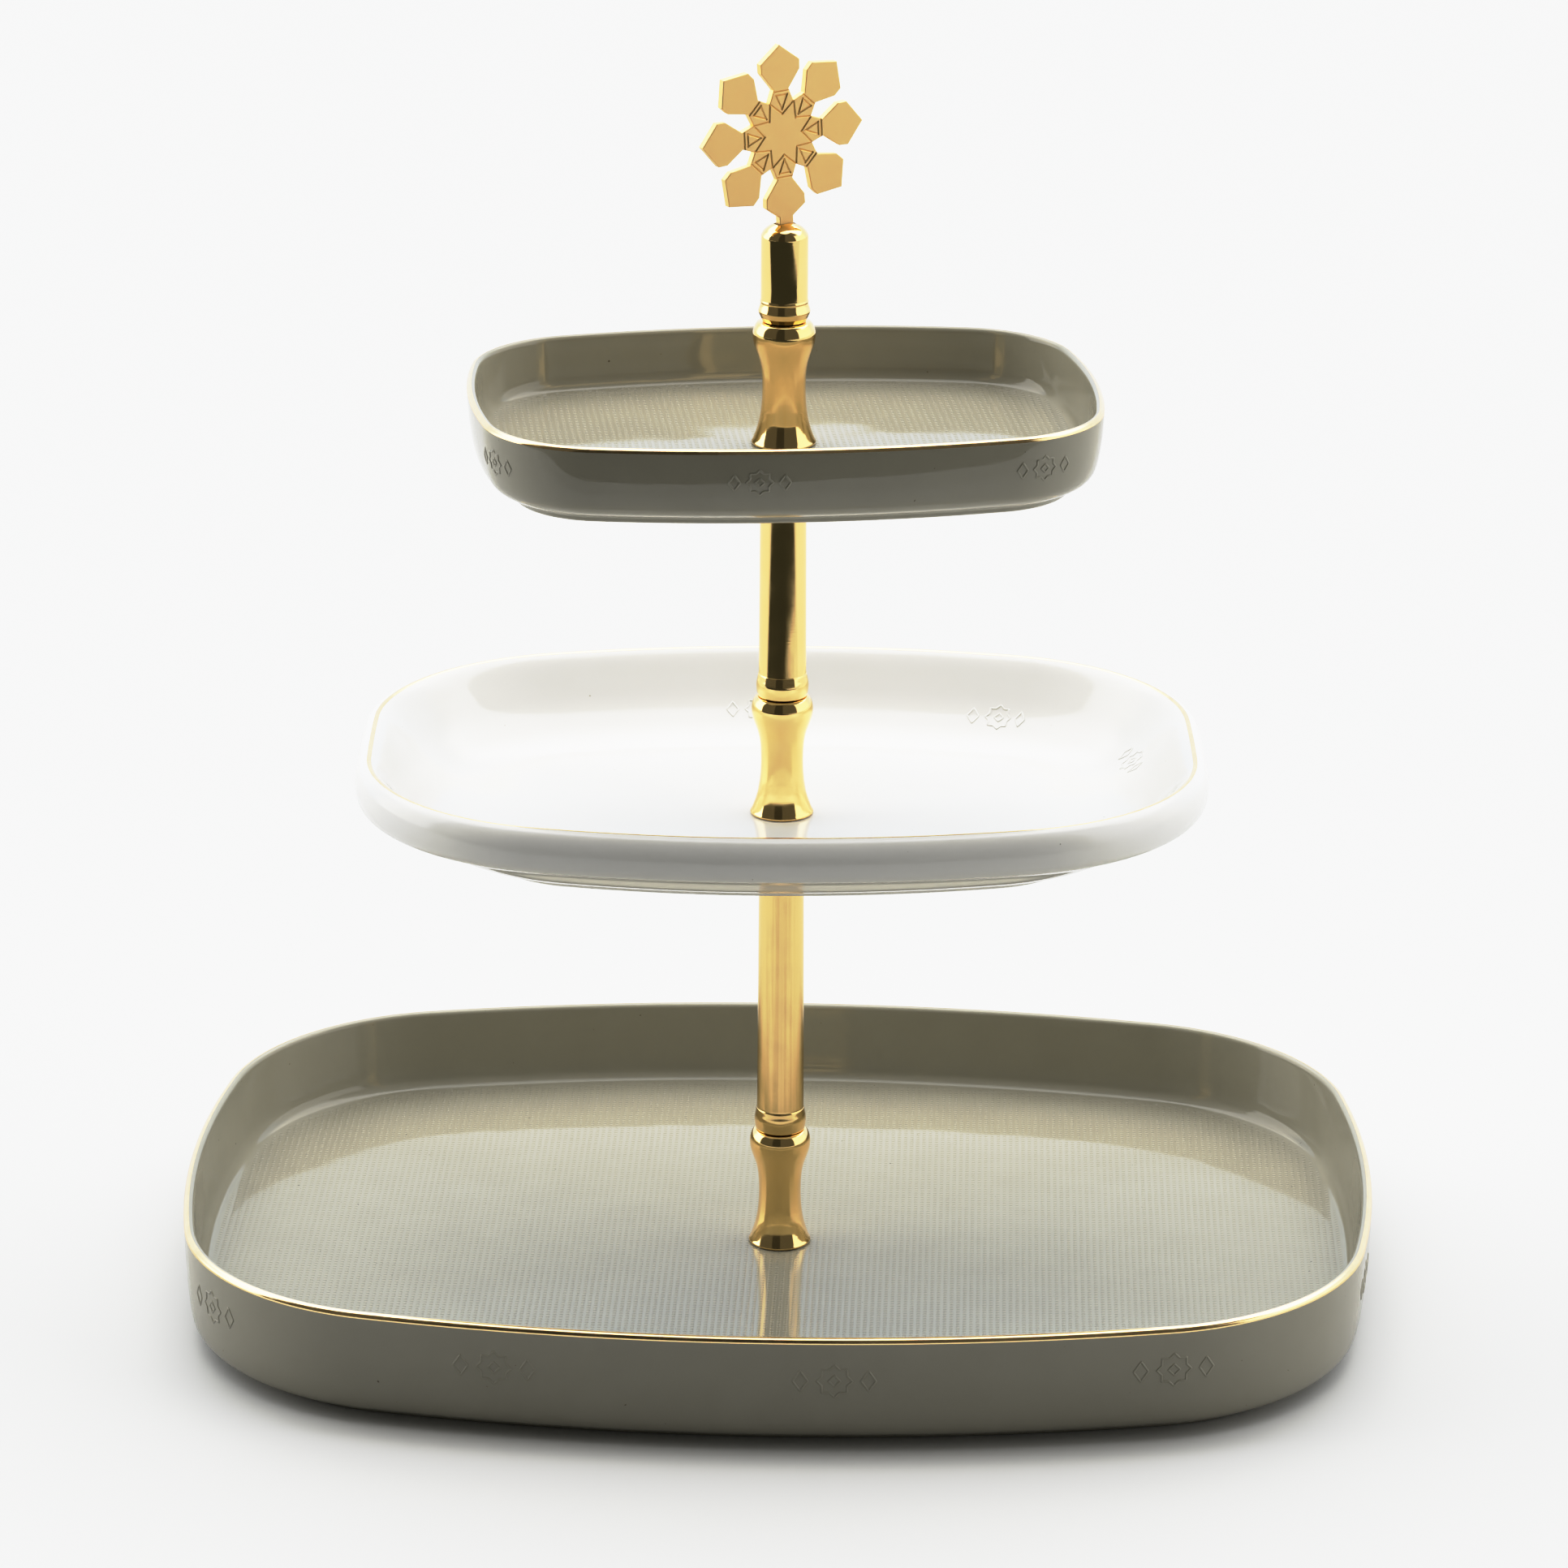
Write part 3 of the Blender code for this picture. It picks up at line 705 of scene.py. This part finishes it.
def quarter_outline(outline):
    """The outline's quarter in +X and +Y, from the end of the half length to +Y, as three arcs."""
    half_length, half_width, long_arc, short_arc, corner = outline
    long_centre = Vector((0.0, half_width - long_arc))
    short_centre = Vector((half_length - short_arc, 0.0))
    centre = corner_centre(outline)
    to_short = centre - short_centre
    to_long = centre - long_centre
    leave = math.atan2(to_short.y, to_short.x)
    arrive = math.atan2(to_long.y, to_long.x)
    return [
        *arc(short_centre, short_arc, 0.0, leave, SHORT_STEPS),
        *arc(centre, corner, leave, arrive, CORNER_STEPS),
        *arc(long_centre, long_arc, arrive, math.pi / 2, LONG_STEPS),
    ]


def outline_points(outline, inset):
    """The whole outline moved inwards by inset, counter-clockwise from +X."""
    smaller = tuple(size - inset for size in outline)
    quarter = quarter_outline(smaller)
    top = Vector((0.0, smaller[1]))
    to_top = [*quarter, top]
    to_left = [Vector((-p.x, p.y)) for p in reversed(quarter)]
    to_bottom = [Vector((-p.x, -p.y)) for p in to_top[1:]]
    to_right = [Vector((p.x, -p.y)) for p in reversed(quarter[1:])]
    return [*to_top, *to_left, *to_bottom, *to_right]


def outline_row(outline, inset, height):
    return [point.to_3d() + Vector((0.0, 0.0, height)) for point in outline_points(outline, inset)]


def hole_row(directions, radius, height):
    """A circle with one point in each of the outline's directions."""
    return [radius * direction.normalized() + Vector((0.0, 0.0, height))
            for direction in directions]


def floor_of(node, section):
    """Height of a tray's floor at its hole: its foot is at the bottom of its box."""
    return span(node)[0] - MM * min(height for _, height in section)


def stand_at(made, floor, turn):
    made.location.z = floor
    made.rotation_euler.z = turn
    return made


def section_line(section):
    return eased(in_metres(section), SECTION_EASE, SECTION_STEPS)


def tray(node, outline, section, thickness, turn):
    """A glazed tray: its rounded section run round its outline, and a round hole at its centre.
    It is GILT_LIFT smaller than its outline all round, which leaves room for the gilding."""
    rows = [outline_row(outline, inset + GILT_LIFT, height)
            for inset, height in section_line(section)]
    directions = outline_row(outline, 0.0, 0.0)
    wide = HOLE_RADIUS + HOLE_EASE
    rows = [
        hole_row(directions, HOLE_RADIUS, -HOLE_EASE),
        hole_row(directions, wide, 0.0),
        *rows,
        hole_row(directions, wide, -thickness),
        hole_row(directions, HOLE_RADIUS, HOLE_EASE - thickness),
    ]
    made = skin(node + "_glazed", rows, closed=True)
    return stand_at(made, floor_of(node, section), turn)


def shifted(line, distance):
    """A section line moved away from the glaze by distance, or into it if that is negative."""
    moved = []
    for i, point in enumerate(line):
        along = (line[min(i + 1, len(line) - 1)] - line[max(i - 1, 0)]).normalized()
        moved.append(point + distance * Vector((along.y, -along.x)))
    return moved


def gilding_band(node, outline, section, stretch, turn):
    """A thin gilt skin over a stretch of the section, sunk a little into the glaze."""
    line = [Vector((inset + GILT_LIFT, height)) for inset, height in section_line(section)]
    start, end = in_metres(stretch)
    nearest = [min(range(len(line)), key=lambda i: (line[i] - mark).length)
               for mark in (start, end)]
    covered = line[nearest[0] : nearest[1] + 1]
    loop = [*shifted(covered, GILT_LIFT), *reversed(shifted(covered, -GILT_BODY))]
    rows = [outline_row(outline, inset, height) for inset, height in loop]
    made = skin(node + "_gilding", rows, closed=True)
    return stand_at(made, floor_of(node, section), turn)


# ---- Low relief on the trays ----


class Wall:
    """The surface that a tray's section makes round its outline."""

    def __init__(self, outline, section, anchor):
        outer, inner = outline_points(outline, 0.0), outline_points(outline, MM)
        corners = [(p, (p - q) / MM) for p, q in zip(outer, inner)]
        front = min(range(len(corners)), key=lambda i: corners[i][0].y)
        self.corners = corners[front:] + corners[:front]
        self.around = distances([point for point, _ in self.corners] + [self.corners[0][0]])
        self.line = [Vector((inset + GILT_LIFT, height)) for inset, height in section_line(section)]
        self.down = distances(self.line)
        self.normals = [b - a for a, b in zip(self.line, shifted(self.line, 1.0))]
        anchor = Vector(anchor) * MM
        nearest = min(range(len(self.line)), key=lambda i: (self.line[i] - anchor).length)
        self.start = self.down[nearest]

    def spot(self, around, down):
        """Point and normal at distances round from the front, and down the section from the anchor."""
        i, part = part_way(self.around, around % self.around[-1])
        near, far = self.corners[i], self.corners[(i + 1) % len(self.corners)]
        point, sideways = near[0].lerp(far[0], part), near[1].lerp(far[1], part).normalized()
        i, part = part_way(self.down, self.start + down)
        inset, height = self.line[i].lerp(self.line[i + 1], part)
        lean, lift = self.normals[i].lerp(self.normals[i + 1], part)
        flat = point - sideways * inset
        return Vector((*flat, height)), Vector((*(-sideways * lean), lift)).normalized()


def distances(line):
    """Distance along the line to each of its points."""
    totals = [0.0]
    for a, b in zip(line, line[1:]):
        totals.append(totals[-1] + (b - a).length)
    return totals


def part_way(totals, distance):
    """Index of the stretch that holds this distance, and the fraction of it that is passed."""
    i = min(max(bisect.bisect_right(totals, distance) - 1, 0), len(totals) - 2)
    return i, (distance - totals[i]) / (totals[i + 1] - totals[i])


def star_loop(size):
    """Outline of an eight-pointed star made by two squares."""
    inner = size * math.cos(math.pi / 4) / math.cos(math.pi / 8)
    return [
        Vector((math.cos(math.pi * i / 8), math.sin(math.pi * i / 8))) * (inner if i % 2 else size)
        for i in range(16)
    ]


def lozenge_loop(centre, half_width, half_height):
    corners = ((half_width, 0.0), (0.0, half_height), (-half_width, 0.0), (0.0, -half_height))
    return [Vector((centre + x, y)) for x, y in corners]


def motif(size):
    """Loops of one generic motif: a star round a lozenge, between two lozenges."""
    middle = size * MIDDLE_LOZENGE
    half_width, half_height = (size * part for part in SIDE_LOZENGE)
    place = size * SIDE_LOZENGE_PLACE
    return [
        star_loop(size),
        lozenge_loop(0.0, middle, middle),
        lozenge_loop(-place, half_width, half_height),
        lozenge_loop(place, half_width, half_height),
    ]


def densely(loop):
    """The loop with points at most RELIEF_STEP apart."""
    points = []
    for a, b in zip(loop, loop[1:] + loop[:1]):
        count = max(1, math.ceil((b - a).length / RELIEF_STEP))
        points += [a.lerp(b, step / count) for step in range(count)]
    return points


def ridge_rows(spots):
    """Rings of a thin ridge that follows a closed line of (point, normal) on a wall."""
    rows = []
    for i, (point, normal) in enumerate(spots):
        along = (spots[(i + 1) % len(spots)][0] - spots[i - 1][0]).normalized()
        across = along.cross(normal)
        centre = point - normal * RELIEF_SINK
        angles = [math.tau * step / RELIEF_SIDES for step in range(RELIEF_SIDES)]
        rows.append([centre + RELIEF_RADIUS * (normal * math.cos(a) + across * math.sin(a))
                     for a in angles])
    return rows


def relief(node, shape, anchor, size, places, turn):
    """Low-relief motifs at these distances round the tray from its front."""
    outline, section = shape
    wall = Wall(outline, section, anchor)
    mesh = bmesh.new()
    for place in places:
        for loop in motif(size):
            spots = [wall.spot(place + point.x, point.y) for point in densely(loop)]
            add_skin(mesh, ridge_rows(spots), closed=True)
    made = new_piece(node + "_relief", mesh, SHARP_ON_RELIEF)
    return stand_at(made, floor_of(node, section), turn)


# ---- Medallion ----


def petal_points(angle, is_lowest):
    """One petal of the rosette, in the order of growing angle, starting after its notch."""
    first = [(-width, reach) for width, reach in PETAL_HALF]
    last = [(width, reach) for width, reach in reversed(PETAL_HALF)]
    tip = [(0.0, PETAL_TIP)]
    if is_lowest:
        tip = [
            (-TANG_HALF_WIDTH, TANG_SHOULDER),
            (-TANG_HALF_WIDTH, TANG_END),
            (TANG_HALF_WIDTH, TANG_END),
            (TANG_HALF_WIDTH, TANG_SHOULDER),
        ]
    outwards = Vector((math.cos(angle), math.sin(angle)))
    sideways = Vector((-outwards.y, outwards.x))
    return [sideways * width + outwards * reach for width, reach in [*first, *tip, *last]]


def petal_angles():
    return [-math.pi / 2 + math.tau * i / PETALS for i in range(PETALS)]


def rosette_points():
    points = []
    for i, angle in enumerate(petal_angles()):
        notch = angle - math.pi / PETALS
        points.append(NOTCH_RADIUS * Vector((math.cos(notch), math.sin(notch))))
        points += petal_points(angle, is_lowest=i == 0)
    return points


def groove_lines():
    """The engraved lines on one face, as pairs of points."""
    lines = []
    for angle in petal_angles():
        outwards = Vector((math.cos(angle), math.sin(angle)))
        sideways = Vector((-outwards.y, outwards.x))
        inner = outwards * STAR_INNER
        for side in (-1, 1):
            notch = angle + side * math.pi / PETALS
            lines.append((inner, NOTCH_RADIUS * Vector((math.cos(notch), math.sin(notch)))))
        apex, base, half = TRIANGLE
        left, right = outwards * base - sideways * half, outwards * base + sideways * half
        lines += [(outwards * apex, left), (outwards * apex, right), (left, right)]
        reach, half = CROSS_LINE
        lines.append((outwards * reach - sideways * half, outwards * reach + sideways * half))
    return lines


def groove_cutter(shape, start, end, face):
    """A bar with a V section along a line on the plate's face at z = face."""
    along = (end - start).normalized().to_3d()
    across = Vector((-along.y, along.x, 0.0)) * GROOVE_HALF_WIDTH
    inward = Vector((0.0, 0.0, -math.copysign(1.0, face)))
    side, proud = across * GROOVE_FLARE, inward * GROOVE_DEPTH / 2
    corners = [side - proud, inward * GROOVE_DEPTH, -side - proud]
    base = Vector((0.0, 0.0, face))
    ends = [[shape.verts.new(point.to_3d() + base + offset + corner) for corner in corners]
            for point, offset in ((start, -along * GROOVE_HALF_WIDTH),
                                  (end, along * GROOVE_HALF_WIDTH))]
    bridge(shape, *ends)
    for cap in ends:
        shape.faces.new(cap)


def plate(name):
    """The rosette as a flat plate with eased edges and engraved lines on both faces."""
    shape = bmesh.new()
    half = PLATE_THICKNESS / 2
    points = rosette_points()
    rows = [[shape.verts.new((p.x, p.y, z)) for p in points] for z in (-half, half)]
    bridge(shape, *rows)
    rims = [edge for edge in shape.edges if edge.verts[0].co.z == edge.verts[1].co.z]
    for row in rows:
        shape.faces.new(row)
    bmesh.ops.recalc_face_normals(shape, faces=shape.faces)
    bmesh.ops.bevel(shape, geom=rims, offset=PLATE_EASE, segments=2, affect="EDGES", profile=0.5)
    made = new_piece(name, shape)
    grooves = bmesh.new()
    for face in (-half, half):
        for start, end in groove_lines():
            groove_cutter(grooves, start, end, face)
    return cut(made, [new_piece("grooves", grooves)], SHARP_ON_PLATE, use_self=True)


def medallion(node):
    made = plate(node + "_plate")
    neck_height = span("finial_ferrule")[1]
    neck = Matrix.Translation((0.0, 0.0, neck_height))
    turn = Matrix.Rotation(MEDALLION_TURN, 4, "Z")
    lean = Matrix.Rotation(-MEDALLION_LEAN, 4, "Y")
    lift = Matrix.Translation((0.0, 0.0, ROSETTE_CENTRE - neck_height))
    stand = Matrix.Rotation(math.pi / 2, 4, "X")
    made.data.transform(neck @ turn @ lean @ lift @ stand)
    return made


# ---- The assembly ----


def place_piece(made, body, node, material):
    """Dresses a piece and lets it ride. It stands for a CAD node, unless node is None."""
    made.data.materials.clear()
    made.data.materials.append(material)
    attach(made, body)
    if node:
        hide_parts(node)


GOLD_RINGS = (
    ("middle_support_washer", "lower_column"),
    ("top_support_washer", "upper_column"),
)
RUBBER_RINGS = (
    ("lower_foot_gasket", "lower_column"),
    ("middle_lower_gasket", "lower_column"),
    ("middle_upper_gasket", "middle_clamp_gasket"),
    ("top_lower_gasket", "upper_column"),
    ("top_upper_gasket", "top_clamp_gasket"),
    ("bottom_rubber_washer", "screw_washers"),
)
STUDS = (
    ("lower_joint_stud", "lower_column"),
    ("middle_tray_stud", "lower_column"),
    ("middle_joint_stud", "upper_column"),
    ("top_tray_stud", "upper_column"),
    ("finial_stud", "finial"),
)


def build_turnings(gold):
    bead_height = BEAD_TOP[0][1] * MM
    # The lower rod's gold is darkened below the plain gold: a painted shade for its darker
    # reflections.
    drawn_gold_painted_shade = plated_gold("drawn_gold_painted_shade_surface", roughness=0.20, stretch=0.6,
                        bead_top=span("lower_rod")[0] + bead_height, painted_shade=0.86)
    wiped = plated_gold("wiped_gold_surface", roughness=0.08, stretch=0.5,
                        bead_top=span("upper_rod")[0] + bead_height)
    for made, body, node, finish in (
        (spool("lower_spool"), "lower_column", "lower_spool", gold),
        (rod("lower_rod", LOWER_ROD_TOP_RADIUS), "lower_column", "lower_rod", drawn_gold_painted_shade),
        (spool("middle_spool"), "upper_column", "middle_spool", gold),
        (rod("upper_rod", UPPER_ROD_TOP_RADIUS), "upper_column", "upper_rod", wiped),
        (spool("top_spool"), "finial", "top_spool", gold),
        (ferrule("finial_ferrule"), "finial", "finial_ferrule", gold),
    ):
        place_piece(made, body, node, finish)


def build_column():
    gold, steel, rubber = plated_gold("gold_plate_surface"), zinc_steel(), grey_rubber()
    build_turnings(gold)
    for node, body in GOLD_RINGS:
        place_piece(flat_ring(node), body, node, gold)
    for node, body in RUBBER_RINGS:
        place_piece(flat_ring(node), body, node, rubber)
    for node, body in STUDS:
        place_piece(threaded_stud(node), body, node, steel)
    place_piece(flat_ring("bottom_steel_washer"), "screw_washers", "bottom_steel_washer", steel)
    place_piece(cross_screw("bottom_screw"), "bottom_screw", "bottom_screw", steel)
    place_piece(medallion("medallion"), "finial", "medallion", satin_gold())


def build_tray(node, shape, thickness, stretch, motifs, turn, finish, gilt):
    """A tray, its gilt rim and its relief. Its node's name is also its body's name."""
    outline, section = shape
    made = tray(node, outline, section, thickness, turn)
    place_piece(made, node, node, finish)
    band = gilding_band(node, outline, section, stretch, turn)
    place_piece(band, node, None, gilt)
    anchor, size, places = motifs
    raised_work = relief(node, shape, anchor, size, places, turn)
    place_piece(raised_work, node, None, finish)


def build_trays():
    grey, white, gilt = grey_glaze(), white_glaze(), gilding()
    build_tray("bottom_tray", (BOTTOM_OUTLINE, BOTTOM_SECTION), BOTTOM_THICKNESS, BOTTOM_GILT,
               BOTTOM_RELIEF, 0.0, grey, gilt)
    build_tray("middle_plate", (MIDDLE_OUTLINE, MIDDLE_SECTION), MIDDLE_THICKNESS, MIDDLE_GILT,
               MIDDLE_RELIEF, MIDDLE_TURN, white, gilt)
    build_tray("top_tray", (TOP_OUTLINE, TOP_SECTION), TOP_THICKNESS, TOP_GILT,
               TOP_RELIEF, TOP_TURN, grey, gilt)


# ---- Floor, light and camera ----

FLOOR_HALF = 6.0
FLOOR_ALBEDO = 0.71
# How much light the floor returns to the stand, close to it, farther off and in front. The low share
# close to the stand is a painted shadow on the floor, and the lowest, in front, is painted darkness;
# the camera sees the floor evenly pale.
NEAR_BOUNCE, FAR_BOUNCE, FRONT_BOUNCE = 0.32, 0.72, 0.05
NEAR_AND_FAR = (0.16, 0.40)
GLOSSY_SHARE = 0.22  # how much of that difference mirror-like surfaces see
# Painted darkness in front of the stand: beyond TABLE_EDGE the floor returns little light, and the
# dark card over it is a painted dark reflection whose faint glow sets how dark it is.
TABLE_EDGE = -0.37  # in reflections, the pale table ends here, towards the camera
TABLE_EDGE_FADE = (TABLE_EDGE + 0.04, TABLE_EDGE - 0.03)
CARD_LEFT, CARD_RIGHT = -3.6, 0.85
CARD_HEIGHT = 0.06
CARD_COLOUR = (0.9, 1.0, 0.9)
CARD_GLOW = 0.04

# The studio's light
LEFT_LIGHT = (2.3, 2.28, 2.2)
RIGHT_LIGHT = (1.35, 1.33, 1.28)
BACKDROP_LIGHT = (0.9, 1.02, 1.2)
SOFTBOX_LIGHT = (2.7, 2.7, 2.7)
CEILING_LIGHT = (1.8, 1.8, 1.78)
HIGH_FRONT_LIGHT = (0.15, 0.15, 0.15)
DARK_ROOM = (0.10, 0.10, 0.09)
DARKEST_ROOM = (0.04, 0.04, 0.035)
SEEN_BACKGROUND = (0.90, 0.90, 0.89)

# Where each of them starts, in degrees: the angle where it isn't there yet, and the angle where
# it is in full. FROM and TO are azimuths, 0 towards the front and 90 towards +X, BEHIND and
# BESIDE are azimuths to either side, and ABOVE and BELOW are elevations.
RIGHT_FROM = (-8.0, 8.0)
BACKDROP_BEHIND = (112.0, 128.0)
SOFTBOX_BESIDE = (80.0, 100.0)
SOFTBOX_ABOVE = (28.0, 40.0)
HIGH_FRONT_ABOVE = (35.0, 50.0)
CEILING_ABOVE = (71.0, 76.0)
OPENING_FROM, OPENING_TO = (-82.0, -78.0), (61.0, 56.0)
OPENING_BELOW = (74.0, 71.0)
DARKEST_FROM, DARKEST_TO = (-30.0, -26.0), (6.0, 2.0)

TONE_WHITE = 3.0  # light that is shown as white
TONE_POINTS = ((0.10, 0.085), (0.30, 0.30), (0.60, 0.74), (0.90, 0.925), (1.20, 0.965), (2.0, 0.985))

CAMERA_PLACE = (0.0516, -1.599, 0.690)
CAMERA_PITCH = math.radians(18.98)  # below the horizon
CAMERA_YAW = math.radians(-0.02)
CAMERA_ROLL = math.radians(0.30)
CAMERA_LENS = 146.05  # in millimetres


def rectangle(name, x_low, x_high, y_low, y_high, height):
    shape = bmesh.new()
    corners = ((x_low, y_low), (x_high, y_low), (x_high, y_high), (x_low, y_high))
    shape.faces.new([shape.verts.new((x, y, height)) for x, y in corners])
    return new_piece(name, shape)


def build_floor():
    """A pale floor that returns less light to the stand than it shows: a painted shadow close to the
    stand and painted darkness in front, which bounced light and, faintly, reflections see.
    """
    floor = rectangle("floor", -FLOOR_HALF, FLOOR_HALF, -FLOOR_HALF, FLOOR_HALF, 0.0)
    made, nodes, shader, place = new_material("pale_floor")
    pale = nodes.mix(nodes.noise(place, 2.0), grey(FLOOR_ALBEDO), grey(1.01 * FLOOR_ALBEDO))
    distance = nodes.add("ShaderNodeVectorMath", operation="LENGTH")
    nodes.feed(distance.inputs[0], place)
    # Painted shadow: the floor returns less light close to the stand.
    far = nodes.ramp(distance.outputs["Value"], *NEAR_AND_FAR)
    bounce = nodes.mix(far, grey(NEAR_BOUNCE), grey(FAR_BOUNCE))
    # Painted darkness in front, beyond the table's edge.
    in_front = nodes.ramp(nodes.axes(place)[1], *TABLE_EDGE_FADE)
    bounce = nodes.mix(in_front, bounce, grey(FRONT_BOUNCE))
    rays = nodes.add("ShaderNodeLightPath").outputs
    glossy = nodes.math("MULTIPLY", rays["Is Glossy Ray"], GLOSSY_SHARE)
    returned = nodes.math("ADD", rays["Is Diffuse Ray"], glossy)
    nodes.feed(shader.inputs["Base Color"], nodes.mix(returned, pale, bounce))
    shader.inputs["Roughness"].default_value = 0.9
    shader.inputs["Specular IOR Level"].default_value = 0.0
    floor.data.materials.append(made)


def build_dark_card():
    """A dark card over the floor in front, as if the table ended there: a painted dark reflection,
    which only reflections see, with a faint glow that sets how dark it is.
    """
    card = rectangle("dark_card", CARD_LEFT, CARD_RIGHT, -FLOOR_HALF, TABLE_EDGE, CARD_HEIGHT)
    made = bpy.data.materials.new("dark_card")
    made.use_nodes = True
    nodes = Nodes(made.node_tree)
    glow = nodes.add("ShaderNodeEmission")
    glow.inputs["Color"].default_value = colour(*CARD_COLOUR)
    glow.inputs["Strength"].default_value = CARD_GLOW
    output = made.node_tree.nodes["Material Output"]
    nodes.feed(output.inputs["Surface"], glow.outputs[0])
    card.data.materials.append(made)
    card.visible_camera = False
    card.visible_diffuse = False
    card.visible_shadow = False
    card.visible_transmission = False


def direction_angles(nodes):
    """Azimuth and elevation in degrees. The azimuth is 0 towards -Y and 90 towards +X."""
    axes = nodes.axes(nodes.add("ShaderNodeTexCoord").outputs["Generated"])
    azimuth = nodes.math("ARCTAN2", axes[0], nodes.math("MULTIPLY", axes[1], -1.0))
    elevation = nodes.math("ARCSINE", axes[2])
    return nodes.math("DEGREES", azimuth), nodes.math("DEGREES", elevation)


def studio_light(nodes):
    """A soft studio: a dark opening in front, pale sides, softboxes above and a bright backdrop."""
    azimuth, elevation = direction_angles(nodes)
    away = nodes.math("ABSOLUTE", azimuth)

    def over(light, amount, added):
        return nodes.mix(amount, light, colour(*added))

    def both(first, second):
        return nodes.math("MULTIPLY", first, second)

    light = over(colour(*LEFT_LIGHT), nodes.ramp(azimuth, *RIGHT_FROM), RIGHT_LIGHT)
    light = over(light, nodes.ramp(away, *BACKDROP_BEHIND), BACKDROP_LIGHT)
    light = over(light, nodes.ramp(elevation, *HIGH_FRONT_ABOVE), HIGH_FRONT_LIGHT)
    light = over(light, nodes.ramp(elevation, *CEILING_ABOVE), CEILING_LIGHT)
    softbox = both(nodes.ramp(elevation, *SOFTBOX_ABOVE), nodes.ramp(away, *SOFTBOX_BESIDE))
    light = over(light, softbox, SOFTBOX_LIGHT)
    centre = both(nodes.ramp(azimuth, *DARKEST_FROM), nodes.ramp(azimuth, *DARKEST_TO))
    room = over(colour(*DARK_ROOM), centre, DARKEST_ROOM)
    opening = both(nodes.ramp(azimuth, *OPENING_FROM), nodes.ramp(azimuth, *OPENING_TO))
    opening = both(opening, nodes.ramp(elevation, *OPENING_BELOW))
    return nodes.mix(opening, light, room)


def build_world():
    """The studio's light on the stand, before a plain pale background for the camera."""
    world = bpy.data.worlds.new("studio")
    world.use_nodes = True
    bpy.context.scene.world = world
    nodes = Nodes(world.node_tree)
    camera_ray = nodes.add("ShaderNodeLightPath").outputs["Is Camera Ray"]
    shown = nodes.mix(camera_ray, studio_light(nodes), colour(*SEEN_BACKGROUND))
    nodes.feed(world.node_tree.nodes["Background"].inputs["Color"], shown)


def build_camera():
    data = bpy.data.cameras.new("camera")
    data.lens = CAMERA_LENS
    made = bpy.data.objects.new("camera", data)
    bpy.context.scene.collection.objects.link(made)
    heading = math.atan2(CAMERA_PLACE[0], -CAMERA_PLACE[1]) + CAMERA_YAW
    made.matrix_world = (
        Matrix.Translation(CAMERA_PLACE)
        @ Matrix.Rotation(heading, 4, "Z")
        @ Matrix.Rotation(math.pi / 2 - CAMERA_PITCH, 4, "X")
        @ Matrix.Rotation(CAMERA_ROLL, 4, "Z")
    )
    bpy.context.scene.camera = made


def set_tone():
    """A photographic tone curve on plain colours: bright tones are lifted, and roll off to white."""
    view = bpy.context.scene.view_settings
    view.view_transform = "Standard"
    view.use_curve_mapping = True
    mapping = view.curve_mapping
    mapping.white_level = (TONE_WHITE, TONE_WHITE, TONE_WHITE)
    curve = mapping.curves[3]
    curve.points[0].location = (0.0, 0.0)
    curve.points[1].location = (1.0, 1.0)
    for light, shown in TONE_POINTS:
        curve.points.new(light / TONE_WHITE, shown)
    mapping.update()


def main():
    set_tone()
    bpy.context.scene.cycles.use_denoising = True
    build_trays()
    build_column()
    build_floor()
    build_dark_card()
    build_world()
    build_camera()


main()
